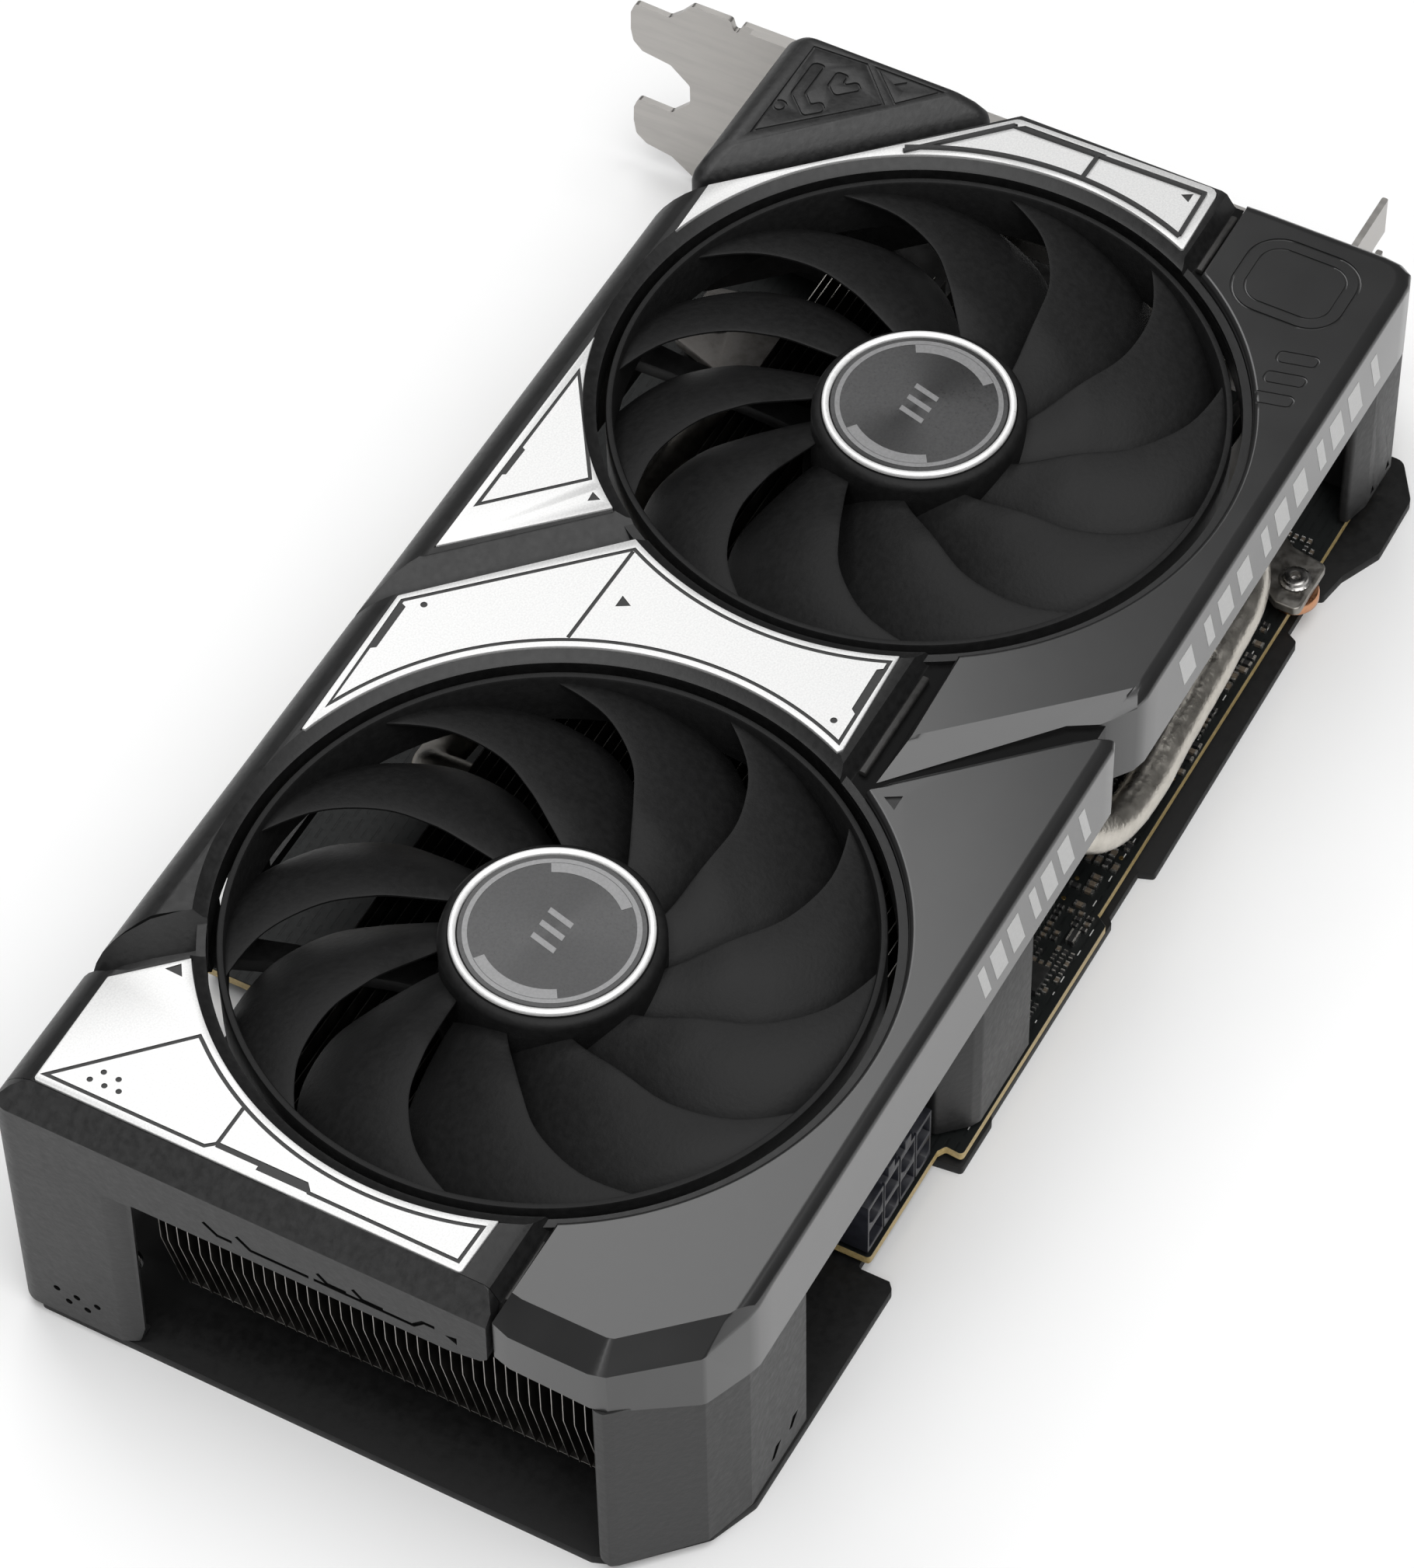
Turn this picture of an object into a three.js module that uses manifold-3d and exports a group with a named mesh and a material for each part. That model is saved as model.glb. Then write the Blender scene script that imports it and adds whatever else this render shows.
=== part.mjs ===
// Dual-fan graphics card, lying on its backplate. Millimetres, +Z up (backplate to fans),
// +X from the I/O bracket to the exhaust end, +Y from the slot edge to the power-connector edge.
import * as THREE from 'three';
import { mergeVertices } from 'three/addons/utils/BufferGeometryUtils.js';
import Module from 'manifold-3d';

const wasm = await Module();
wasm.setup();

// ---------- driving dimensions ----------
const TOP = 50;                 // top face of the accent panels
const FAN_X = [0, 104.6];       // fan axes along the card (working frame: fan A at X 0, Y 0)
const N_BLADES = 11;
const R_RING = 44.0, RING_T = 1.1, RING_Z0 = 39.5, RING_Z1 = 48.5;
const R_HUB = 15.2, HUB_Z0 = 36.5, HUB_Z1 = 48.0, HUB_WALL = 1.4;
const R_DISC = 12.6, R_TRIM_IN = 12.93, R_TRIM_OUT = 13.6, TRIM_Z1 = 48.9;
const R_BORE = 45.2;            // bore in the shroud round each rotor
const R_PANEL = 47.15;          // curved edge of the panels and covers
const X_BR = -64.3;             // outer face of the I/O bracket
const BR_T = 1.0;               // bracket sheet
const X_END = 161.2;            // exhaust end face
const Y_L = -50.4, Y_R = 51.7;  // side faces of the shroud
const DECK_T = 49.0;            // deck top under the panels
const GAP = 0.3;                // clearance between pieces
const PCB_Z0 = 2.6, PCB_Z1 = 4.2;
const BP_T = 1.6;               // backplate thickness
const FIN_Z0 = 12, FIN_Z1 = 32.6;
const FIN_PITCH = 5.4, FIN_T = 1.2, FIN_N = 14, FIN_Y0 = -34.6;
const PIPE_R = 3.0;
const SCREWS_BP = [[-50, -44], [-50, 44], [74, -40], [150, -42]];
const D2R = Math.PI / 180;

// ---------- materials ----------
const M = {
  matte: [0x1f2022, 0.62, 0.0], soft: [0x2b2c2e, 0.7, 0.0], gloss: [0x4b4b4d, 0.18, 0.0],
  panel: [0xe6e6e4, 0.38, 0.35], blade: [0x2a2a2b, 0.6, 0.0], silver: [0xf0f0f0, 0.2, 0.9],
  disc: [0x5b5b5d, 0.35, 0.7], steel: [0x9a9894, 0.38, 0.9], rail: [0x6d6c6a, 0.45, 0.4],
  pcb: [0x0f1416, 0.42, 0.0], nickel: [0xc9c5ba, 0.28, 1.0], fin: [0x8b8884, 0.4, 1.0],
  plate: [0x1b1b1c, 0.5, 0.2], chip: [0x141414, 0.4, 0.0], choke: [0x3a3a3c, 0.6, 0.1],
  cap: [0xa8a8a8, 0.3, 0.9], conn: [0x1c1d26, 0.45, 0.0], port: [0x2c2c2e, 0.5, 0.2],
  portm: [0xb9b6af, 0.3, 0.9], copper: [0xb0673d, 0.35, 0.9], screw: [0x8c8a86, 0.35, 0.9],
};

// ---------- helpers ----------
const group = new THREE.Group();
group.name = 'graphics_card';
function man(geo) {
  let g = geo.clone();
  g.deleteAttribute('normal'); g.deleteAttribute('uv');
  g = mergeVertices(g, 1e-4);
  return new wasm.Manifold(new wasm.Mesh({
    numProp: 3, vertProperties: new Float32Array(g.attributes.position.array), triVerts: new Uint32Array(g.index.array),
  }));
}
function add(name, solid, mat) {
  const me = solid.getMesh();
  const g = new THREE.BufferGeometry();
  g.setAttribute('position', new THREE.BufferAttribute(new Float32Array(me.vertProperties), 3));
  g.setIndex(new THREE.BufferAttribute(new Uint32Array(me.triVerts), 1));
  const [c, r, m] = M[mat];
  const mesh = new THREE.Mesh(g, new THREE.MeshStandardMaterial({ color: c, roughness: r, metalness: m }));
  mesh.name = name;
  group.add(mesh);
  return mesh;
}
function shapeOf(pts, holes = []) {
  const s = new THREE.Shape(pts.map(p => new THREE.Vector2(p[0], p[1])));
  for (const h of holes) s.holes.push(new THREE.Path(h.map(p => new THREE.Vector2(p[0], p[1]))));
  return s;
}
const toX = new THREE.Matrix4().set(0, 0, 1, 0, 1, 0, 0, 0, 0, 1, 0, 0, 0, 0, 0, 1);   // (a,b,c) -> (c,a,b)
const toY = new THREE.Matrix4().set(0, 1, 0, 0, 0, 0, 1, 0, 1, 0, 0, 0, 0, 0, 0, 1);   // (a,b,c) -> (b,c,a)
function prismZ(pts, z0, z1, holes = []) {
  const g = new THREE.ExtrudeGeometry(shapeOf(pts, holes), { depth: z1 - z0, bevelEnabled: false });
  g.translate(0, 0, z0); return man(g);
}
function prismX(ptsYZ, x0, x1) {
  const g = new THREE.ExtrudeGeometry(shapeOf(ptsYZ), { depth: x1 - x0, bevelEnabled: false });
  g.translate(0, 0, x0); g.applyMatrix4(toX); return man(g);
}
function prismY(ptsXZ, y0, y1) {
  const g = new THREE.ExtrudeGeometry(shapeOf(ptsXZ.map(p => [p[1], p[0]])), { depth: y1 - y0, bevelEnabled: false });
  g.translate(0, 0, y0); g.applyMatrix4(toY); return man(g);
}
function box(x0, x1, y0, y1, z0, z1) {
  const g = new THREE.BoxGeometry(x1 - x0, y1 - y0, z1 - z0);
  g.translate((x0 + x1) / 2, (y0 + y1) / 2, (z0 + z1) / 2); return man(g);
}
function cyl(x, y, r, z0, z1, seg = 32) {
  const g = new THREE.CylinderGeometry(r, r, z1 - z0, seg);
  g.rotateX(Math.PI / 2); g.translate(x, y, (z0 + z1) / 2); return man(g);
}
function cylX(y, z, r, x0, x1, seg = 20) {
  const g = new THREE.CylinderGeometry(r, r, x1 - x0, seg);
  g.rotateZ(Math.PI / 2); g.translate((x0 + x1) / 2, y, z); return man(g);
}
function lathe(prof, x, y, seg = 48) {          // closed [r, z] profile, counter-clockwise in (r, z)
  const g = new THREE.LatheGeometry([...prof, prof[0]].map(p => new THREE.Vector2(p[0], p[1])), seg);
  g.rotateX(Math.PI / 2); g.translate(x, y, 0);
  return man(g);
}
function arc(cx, cy, r, a0, a1, n) {
  const o = [];
  for (let i = 0; i <= n; i++) { const a = (a0 + (a1 - a0) * i / n) * D2R; o.push([cx + r * Math.cos(a), cy + r * Math.sin(a)]); }
  return o;
}
function tube(points, r, seg = 28, rad = 12) {
  const path = new THREE.CatmullRomCurve3(points.map(p => new THREE.Vector3(...p)), false, 'centripetal');
  const c = new THREE.Shape(arc(0, 0, r, 0, 360 - 360 / rad, rad - 1).map(p => new THREE.Vector2(p[0], p[1])));
  return man(new THREE.ExtrudeGeometry(c, { steps: seg, extrudePath: path, bevelEnabled: false }));
}
const both = (f) => [0, 1].forEach(i => f(i, FAN_X[i], i ? 'b' : 'a'));

// ---------- backplate ----------
const BP = [[160.6, -48.9], [160.7, 35.7], [159.4, 39.1], [150.4, 48.0], [143.4, 50.8], [105.6, 51.1], [104.6, 50.2],
  [104.6, 45.4], [84.2, 45.4], [83.6, 50.4], [74.6, 50.4], [73.8, 49.9], [36.6, 49.9], [35.8, 49.2], [26.6, 49.2], [25.8, 51.4],
  [-22.0, 51.0], [-23.0, 49.2], [-31.0, 49.2], [-31.8, 50.8], [-36.5, 51.6], [-43.2, 54.6], [-54.6, 54.4], [-61.2, 50.2],
  [-61.2, -46.0], [-57.2, -49.8], [158.0, -49.8]];
{
  let b = prismZ(BP.slice().reverse(), 0, BP_T);
  for (const [x, y] of SCREWS_BP)
    b = b.subtract(cyl(x, y, 2.2, -1, 3, 20));
  add('backplate', b, 'plate');
}
SCREWS_BP.forEach(([x, y], i) => {
  let s = cyl(x, y, 1.9, 0.15, 1.5, 20).subtract(box(x - 1.2, x + 1.2, y - 0.3, y + 0.3, 0, 0.7)).subtract(box(x - 0.3, x + 0.3, y - 1.2, y + 1.2, 0, 0.7));
  if (i < 3) s = s.add(cyl(x, y, 1.0, 1.4, 2.3, 12));
  add('backplate_screw_' + (i + 1), s, 'screw');
});

// ---------- circuit board with card-edge tab ----------
{
  const o = [[-60.0, 48.4], [38.0, 48.4], [39.2, 50.2], [83.2, 50.2], [83.6, 46.9], [104.1, 46.9], [104.1, -58.0],
    [84.0, -58.0], [84.0, -62.5], [80.5, -62.5], [80.5, -60.0], [76.0, -60.0], [76.0, -58.0], [71.4, -58.0], [71.4, -65.2], [70.4, -66.2],
    [-4.7, -66.2], [-4.7, -58.6], [-6.6, -58.6], [-6.6, -66.2], [-17.0, -66.2], [-18.0, -65.2], [-18.0, -58.0], [-60.0, -58.0]];
  add('circuit_board', prismZ(o.slice().reverse(), PCB_Z0, PCB_Z1), 'pcb');
}
// ---------- components on the board ----------
{
  let g = box(3.2, 40.8, -20.8, 16.8, PCB_Z1 + GAP, 6.0).add(box(14, 30, -9, 5, 5.9, 6.7));
  add('gpu_package', g, 'chip');
  [[-14, -20], [-14, -2], [-14, 16], [52, -20]].forEach(([x, y], i) =>
    add('memory_chip_' + (i + 1), box(x - 6, x + 6, y - 7, y + 7, PCB_Z1 + GAP, 5.8), 'chip'));
  [[70, -36], [70, -24], [70, -12], [70, 0]].forEach(([x, y], i) =>
    add('choke_' + (i + 1), box(x - 3.6, x + 3.6, y - 3.6, y + 3.6, PCB_Z1 + GAP, 8.6), 'choke'));
  [[81, 24], [90, 24], [98.6, 24]].forEach(([x, y], i) =>
    add('capacitor_' + (i + 1), cyl(x, y, 3.2, PCB_Z1 + GAP, 10.6, 24), 'cap'));
}
// ---------- eight-way power connector, mouth toward +Y ----------
{
  const x0 = 85.6, x1 = 104.0, z0 = 5.0, z1 = 15.4, y0 = 33.0, y1 = 46.6;
  let c = box(x0, x1, y0, y1, z0, z1).add(box(91.5, 98.1, 35.0, 46.6, z1 - 0.1, 17.4));
  c = c.subtract(box(93.3, 96.3, 36.4, 50, 15.7, 18));
  for (let i = 0; i < 4; i++) for (let j = 0; j < 2; j++) {
    const cx = x0 + 2.3 + i * 4.6, cz = z0 + 2.75 + j * 4.9;
    c = c.subtract(box(cx - 1.8, cx + 1.8, y0 + 3, y1 + 1, cz - 1.75, cz + 1.75));
    c = c.add(box(cx - 0.5, cx + 0.5, y0 + 2.5, y1 - 2.6, cz - 0.5, cz + 0.5));
  }
  c = c.add(box(x0 + 1, x1 - 1, y0 + 1, y0 + 3, PCB_Z1 + GAP, z0 + 0.2));
  add('power_connector', c, 'conn');
}

// ---------- heatsink ----------
const pipeA = [[44, 4, 12.3], [18, 4, 12.3], [-8, 4, 12.3], [-22, 8, 12.3], [-30, 18, 12.3], [-30.6, 30, 12.4], [-26.4, 39.6, 12.8], [-18, 44.4, 13], [-6, 45.6, 13], [10, 46.3, 13], [22, 46.9, 13.2],
  [31, 46.2, 14.8], [36.8, 43.6, 18.8], [39.6, 40.2, 22.4], [40, 35, 23.5], [40, 20, 23.5], [40, -31, 23.5]];
const pipeB = [[44, -14, 12.3], [18, -14, 12.3], [-6, -14, 12.3], [-17, -18, 12.3], [-21, -27, 12.6], [-18, -36, 13], [-9, -40.8, 13.4], [2, -41.4, 13.8], [30, -41.4, 14.6], [56, -41.4, 15.8],
  [66, -41, 18.4], [71, -38.8, 22.2], [72, -34, 23.5], [72, -20, 23.5], [72, 32, 23.5]];
const pipes = [['heat_pipe_1', pipeA], ['heat_pipe_2', pipeB]];
{
  let base = box(-8, 50, -26, 26, 7.0, 15.9);
  const n = FIN_N, y0 = FIN_Y0, W = FIN_PITCH * (n - 1) + FIN_T;
  const comb = (zb) => {
    const prof = [[y0, zb], [y0 + W, zb]];
    for (let i = n - 1; i >= 0; i--) {
      const a = y0 + i * FIN_PITCH;
      prof.push([a + FIN_T, FIN_Z1], [a, FIN_Z1]);
      if (i > 0) prof.push([a, zb + 1.2], [a - FIN_PITCH + FIN_T, zb + 1.2]);
    }
    return prof;
  };
  let f = prismX(comb(16.2), -36, 58).add(prismX(comb(FIN_Z0), 57.99, 157)).add(box(57, 59, y0, y0 + W, 12, 17.4));
  f = f.subtract(prismY([[158, 11], [158, 23], [157.01, 23], [153.6, 11]], -40, 45)).subtract(box(83.6, 106, 31.4, 40, 11, 18));
  const bore = (x) => { const g = new THREE.CylinderGeometry(PIPE_R + 0.7, PIPE_R + 0.7, 90, 10); g.translate(x, 0, 23.5); return man(g); };
  f = f.subtract(bore(40)).subtract(bore(72));
  for (const y of [4, -14]) base = base.subtract(box(-9, 51, y - 3.9, y + 3.9, 8.9, 17));
  add('fin_stack', f, 'fin');
  add('cold_plate', base, 'nickel');
}
for (const [n, p] of pipes) add(n, tube(p, PIPE_R, 34, 10), 'nickel');
// cross arm that clamps the heatsink to the board, with its two screws
{
  let a = prismZ([[-39, -55], [-27, -55], [-24, -46], [-24, 44.5], [-22.2, 47], [-22.2, 50.8], [-32, 50.8], [-33, 45], [-37, 40], [-40, 20], [-40, -50]], 6.8, 8.3);
  for (const y of [-50.5, 47.9]) a = a.subtract(cyl(y < 0 ? -33 : -27.3, y, 1.7, 6, 10, 20));
  add('clamp_arm', a, 'steel');
  [[-33, -50.5], [-27.3, 47.9]].forEach(([x, y], i) => {
    let s = cyl(x, y, 1.3, PCB_Z1 + GAP, 8.7, 16).add(cyl(x, y, 2.4, 8.6, 10.2, 24)).subtract(cyl(x, y, 0.9, 9.4, 12, 6));
    add('clamp_screw_' + (i + 1), s, 'screw');
    add('clamp_washer_' + (i + 1), lathe([[1.6, PCB_Z1 + GAP], [3.6, PCB_Z1 + GAP], [3.6, 6.4], [1.6, 6.4]], x, y, 24), 'copper');
  });
}

// ---------- I/O bracket ----------
{
  const yTip = -81.8, ySh = -74.8, yBody = -71.6, yFl = 38.3;
  // front outline in (y, z): two slotted tails, body, top edge
  const o = [[yFl, 0.6], [-70.4, 0.6], [ySh, 4.1], [yTip + 2.2, 5.2], [yTip, 6.6], [yTip + 0.2, 13.2], [yTip + 1.4, 14.3], [ySh, 14.3],
    [yBody, 17.4], [yBody, 21.6], [ySh, 24.42], [yTip + 2.2, 25.5], [yTip, 26.9], [yTip + 0.2, 33.5], [yTip + 1.4, 34.6], [ySh, 34.6],
    [-71.2, 38.6], [-64.4, 38.6], [-63.4, 36.6], [-62.4, 38.6], [yFl, 38.6]];
  let b = prismX(o, X_BR, X_BR + BR_T);
  // flange bent outward at the +Y end
  b = b.add(prismZ([[X_BR - 11.0, yFl - BR_T], [X_BR + BR_T, yFl - BR_T], [X_BR + BR_T, yFl], [X_BR - 11.4, yFl], [X_BR - 11.4, yFl - BR_T]], 0.6, 38.6)
    .subtract(box(X_BR - 20, X_BR - 5.4, yFl - 5, yFl + 5, 7.2, 11.6)).subtract(box(X_BR - 20, X_BR - 5.4, yFl - 5, yFl + 5, 27.5, 31.9)));
  // port windows and exhaust slots
  for (const [y, w] of [[-49, 17], [-28.5, 17], [-8, 17], [12.5, 16]]) b = b.subtract(box(X_BR - 1, X_BR + 2, y - w / 2, y + w / 2, 6.0, 12.2));
  for (let i = 0; i < 9; i++) b = b.subtract(box(X_BR - 1, X_BR + 2, -56 + i * 9.2, -49.6 + i * 9.2, 20.5, 23.6)).subtract(box(X_BR - 1, X_BR + 2, -56 + i * 9.2, -49.6 + i * 9.2, 27.5, 30.6));
  // stiffening lip bent inward along the upper edge
  b = b.add(box(X_BR, X_BR + 4.4, -60.5, 16, 37.6, 38.6));
  add('io_bracket', b, 'steel');
}
// ---------- display sockets ----------
[[-49, 1], [-28.5, 1], [-8, 1], [12.5, 0]].forEach(([y, dp], i) => {
  const w = dp ? 16.2 : 15.2;
  let s = box(X_BR - 0.2, -49.5, y - w / 2, y + w / 2, 6.3, 11.9);
  let cut = box(X_BR - 1, -56, y - w / 2 + 0.6, y + w / 2 - 0.6, 6.9, 11.3);
  s = s.subtract(cut).add(box(-64.0, -55.9, y - w / 2 + 2.2, y + w / 2 - 2.2, 8.4, 10.0));
  s = s.add(box(-60, -50, y - w / 2 + 1, y + w / 2 - 1, PCB_Z1 + GAP, 6.4));
  add(dp ? 'display_socket_' + (i + 1) : 'hdmi_socket', s, dp ? 'port' : 'portm');
});

// ---------- fans: fixed motor mount, rotor, shaft, trim, disc ----------
const SWEEP = [[13.0, 99], [15.2, 104.5], [20, 112.8], [25, 118.4], [30, 122.8], [34, 127.6], [38, 133.2], [41, 138.9], [43.8, 144.6]];
function sweep(r) {
  for (let i = 1; i < SWEEP.length; i++) if (r <= SWEEP[i][0]) {
    const [a, b] = [SWEEP[i - 1], SWEEP[i]]; return a[1] + (b[1] - a[1]) * (r - a[0]) / (b[0] - a[0]);
  }
  return SWEEP[SWEEP.length - 1][1];
}
function blade(ang0) {
  const nr = 4, nc = 3, g = new THREE.BoxGeometry(1, 1, 1, nr, nc, 1), p = g.attributes.position;
  for (let i = 0; i < p.count; i++) {
    const u = p.getX(i) + 0.5, v = 0.5 - p.getY(i), w = p.getZ(i);        // v 0 at the leading ridge
    const r = 13.6 + u * (43.5 - 13.6), k = Math.min(1, Math.max(0, (r - 14) / 10));
    const chord = 33 + 5 * (1 - u);
    const th = (ang0 + sweep(r) - 144.6 - v * chord) * D2R;
    const zl = 43.4 + 3.6 * k, zt = 38.6 - 0.4 * u;
    const z = zl + (zt - zl) * (0.55 * v + 0.45 * v * v) + w * 1.0;
    p.setXYZ(i, r * Math.cos(th), r * Math.sin(th), z);
  }
  return g;
}
const PHASE_DEG = [144.6 - 19.0, 144.6];
both((i, x, s) => {
  // rotor: cup hub, blades and tip ring moulded as one piece
  let r = lathe([[1.9, HUB_Z1 - 1.6], [R_HUB - HUB_WALL, HUB_Z1 - 1.6], [R_HUB - HUB_WALL, HUB_Z0], [R_HUB, HUB_Z0], [R_HUB, HUB_Z1 - 1.0], [R_HUB - 1, HUB_Z1 - 0.1], [1.9, HUB_Z1 - 0.1]], 0, 0, 30);
  r = r.add(lathe([[R_RING - RING_T, RING_Z0], [R_RING, RING_Z0], [R_RING, RING_Z1], [R_RING - RING_T, RING_Z1]], 0, 0, 44));
  for (let k = 0; k < N_BLADES; k++) r = r.add(man(blade(PHASE_DEG[i] - k * 360 / N_BLADES)));
  add('rotor_' + s, r.translate([x, 0, 0]), 'blade');
  add('hub_trim_ring_' + s, lathe([[R_TRIM_IN, HUB_Z1 + 0.2], [R_TRIM_OUT, HUB_Z1 + 0.2], [R_TRIM_OUT, TRIM_Z1], [R_TRIM_IN, TRIM_Z1]], x, 0, 40), 'silver');
  add('hub_disc_' + s, cyl(x, 0, R_DISC, HUB_Z1 + 0.2, TRIM_Z1 - 0.3, 36), 'disc');
  add('shaft_' + s, cyl(x, 0, 1.5, 35.6, HUB_Z1 - 0.2, 20), 'steel');
  // fixed mount: stator drum, base dish and three struts out to the shroud
  let m = cyl(x, 0, 12.4, 34.8, 45.4, 32).add(cyl(x, 0, 16.4, 33.2, 35.2, 36));
  for (const a of [28, 148, 268]) {
    const t = new THREE.BoxGeometry(33.4, 5, 1.9); t.translate(31.2, 0, 34.15); t.rotateZ((a + i * 20) * D2R); t.translate(x, 0, 0);
    const e = new THREE.BoxGeometry(2.2, 7, 10.2); e.translate(47.2, 0, 38.3); e.rotateZ((a + i * 20) * D2R); e.translate(x, 0, 0);
    m = m.add(man(t)).add(man(e));
  }
  m = m.subtract(cyl(x, 0, 1.9, 34.9, 50, 20));
  add('fan_mount_' + s, m, 'matte');
});

// ---------- shroud frame ----------
{
  const bores = FAN_X.map(x => arc(x, 0, R_BORE, 0, 360 - 7.5, 47).reverse());
  const holesIn = FAN_X.map(x => arc(x, 0, R_BORE, 0, 360 - 7.5, 47));
  // deck under the panels
  let d = prismZ([[-54.6, Y_L + 1.8], [158, Y_L + 1.8], [158, 22.3], [-54.6, 22.3]], 44.6, DECK_T)
    .add(prismZ([[-53.8, 22.2], [158, 22.2], [158, 34], [144, 48.2], [-53.8, 48.2]], 44.6, 47.4));
  // slot-side wall with sloped shoulder and openings toward the board
  d = d.add(prismX([[Y_L - 1.6, 44.6], [Y_L - 1.6, 20], [Y_L, 20], [Y_L + 1.8, 44.2], [Y_L + 4, 44.6], [Y_L + 4, 49], [Y_L + 2.2, 49]], -54.6, 158));
  // corner recess for the cap beside the bracket
  d = d.subtract(prismZ([[-80, -80], [8.6, -80], [-58.8, -12.6], [-80, -12.6]], 20, 60));
  for (const x of FAN_X) d = d.subtract(cyl(x, 0, R_BORE, 10, 60, 48));
  // bore skirts
  for (const x of FAN_X) d = d.add(lathe([[R_BORE, 43.9], [R_BORE + 1.5, 43.9], [R_BORE + 1.5, 48.2], [R_BORE, 48.2]], x, 0, 48).subtract(box(x - 60, x + 60, 48.8, 60, 30, 60)));
  // grooves between the shroud sections on the slot side
  d = d.subtract(prismZ([[52.8, -60], [64.2, -60], [64.0, -49.6], [44.0, -28.0], [40.0, -31.0], [53.4, -48.0]], 46.6, 60));
  d = d.subtract(prismZ([[134.4, -60], [138.2, -60], [138.2, -47.2], [131.6, -40.2], [130.6, -39.0], [124.8, -41.6], [128.0, -46.6], [133.2, -50.2]], 46.6, 60));
  const parts = d.decompose(); let best = parts[0];
  for (const q of parts) if (q.volume() > best.volume()) best = q;
  add('shroud_frame', best, 'matte');
}
// ---------- white accent panels ----------
const PZ0 = DECK_T + GAP;
{
  const B = FAN_X[1];
  add('accent_panel_end', prismZ([[157.5, 16.7], [157.5, -46.7], [139.2, -46.8], ...arc(B, 0, R_PANEL, -55.3, 21.3, 20)].reverse(), PZ0, TOP), 'panel');
  add('accent_panel_middle', prismZ([[91.6, -46.0], [65.5, -46.2], ...arc(0, 0, R_PANEL, -28.4, 24.1, 14), [60.9, 20.0], ...arc(B, 0, R_PANEL, 155.6, 254.2, 24)].reverse().reverse(), PZ0, TOP), 'panel');
  add('accent_panel_left', prismZ([[55.2, -46.1], ...arc(0, 0, R_PANEL, -36.4, -76.3, 12)], PZ0, TOP), 'panel');
  add('accent_panel_top', prismZ([[-22.3, -45.7], [-55.0, -12.6], [-55.4, 19.9], ...arc(0, 0, R_PANEL, 154.9, 255.2, 26)], PZ0, TOP), 'panel');
}
// ---------- textured corner cap ----------
{
  let c = prismZ([[-58.4, -49.9], [-24.4, -50.4], [-22.6, -49.4], [-57.2, -14.8], [-58.6, -15.6]].reverse(), 22, 48.6);
  c = c.subtract(prismZ([[-56.4, -48.2], [-28.6, -48.2], [-56.4, -20.2]].reverse(), 10, 46.4));
  add('corner_cap', c, 'soft');
}
// ---------- glossy side covers ----------
{
  const zc = 35.0;
  // far cover: top plate, side band and slanted shoulder
  let f = prismZ([[-54.6, 24.4], ...arc(0, 0, R_PANEL + 0.2, 148.4, 41, 24), [54.0, 27.5], [34.0, 49.4], [30.6, Y_R], [-52.4, Y_R], [-54.6, 48.4]].reverse(), 47.7, 49.8);
  f = f.add(prismX([[49.7, zc], [Y_R, zc], [Y_R, 49.0], [Y_R - 0.8, 49.8], [48.6, 49.8], [48.6, 47.7], [49.7, 47.7]], -52.4, 32.0));
  f = f.add(prismZ([[-55.6, 24.4], [-54.2, 24.4], [-54.2, 47.8], [-52.2, 49.7], [-52.2, Y_R], [-54.0, Y_R - 1], [-55.6, 49.6]].reverse(), 36, 49.6));
  add('cover_far', f, 'gloss');
  const B = FAN_X[1];
  let n = prismZ([...arc(B, 0, R_PANEL + 0.2, 148.6, 30.6, 28), [157.4, 23.6], [157.4, 37.0], [146.6, 49.6], [144.0, Y_R], [44.4, Y_R], [42.4, 49.8], [63.4, 27.2]].reverse(), 47.7, 49.8);
  n = n.add(prismX([[49.7, zc], [Y_R, zc], [Y_R, 49.0], [Y_R - 0.8, 49.8], [48.6, 49.8], [48.6, 47.7], [49.7, 47.7]], 42.0, 144.6));
  n = n.add(prismZ([[161.0, 23.8], [161.0, 36.2], [152.2, 49.0], [144.4, Y_R], [144.4, 49.9], [150.6, 47.6], [158.7, 35.8], [158.7, 23.8]].reverse().reverse(), 38.4, 47.6))
    .add(prismZ([[156.8, 23.8], [160.0, 23.8], [160.0, 36.4], [151.4, 48.6], [144.0, 51.0], [143.0, 49.0], [150.0, 46.0], [156.8, 35.8]], 47.5, 48.8));
  add('cover_near', n, 'gloss');
}
// ---------- grey rails lying in the grooves ----------
add('groove_rail_end', box(147.6, 157.4, 22.6, 23.3, 47.7, 49.0), 'rail');
add('groove_rail_middle', box(43.4, 60.6, 22.6, 23.5, 47.7, 49.0), 'rail');
add('groove_rail_top', box(-53.4, -41.6, 22.6, 23.5, 47.7, 49.0), 'rail');

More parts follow.
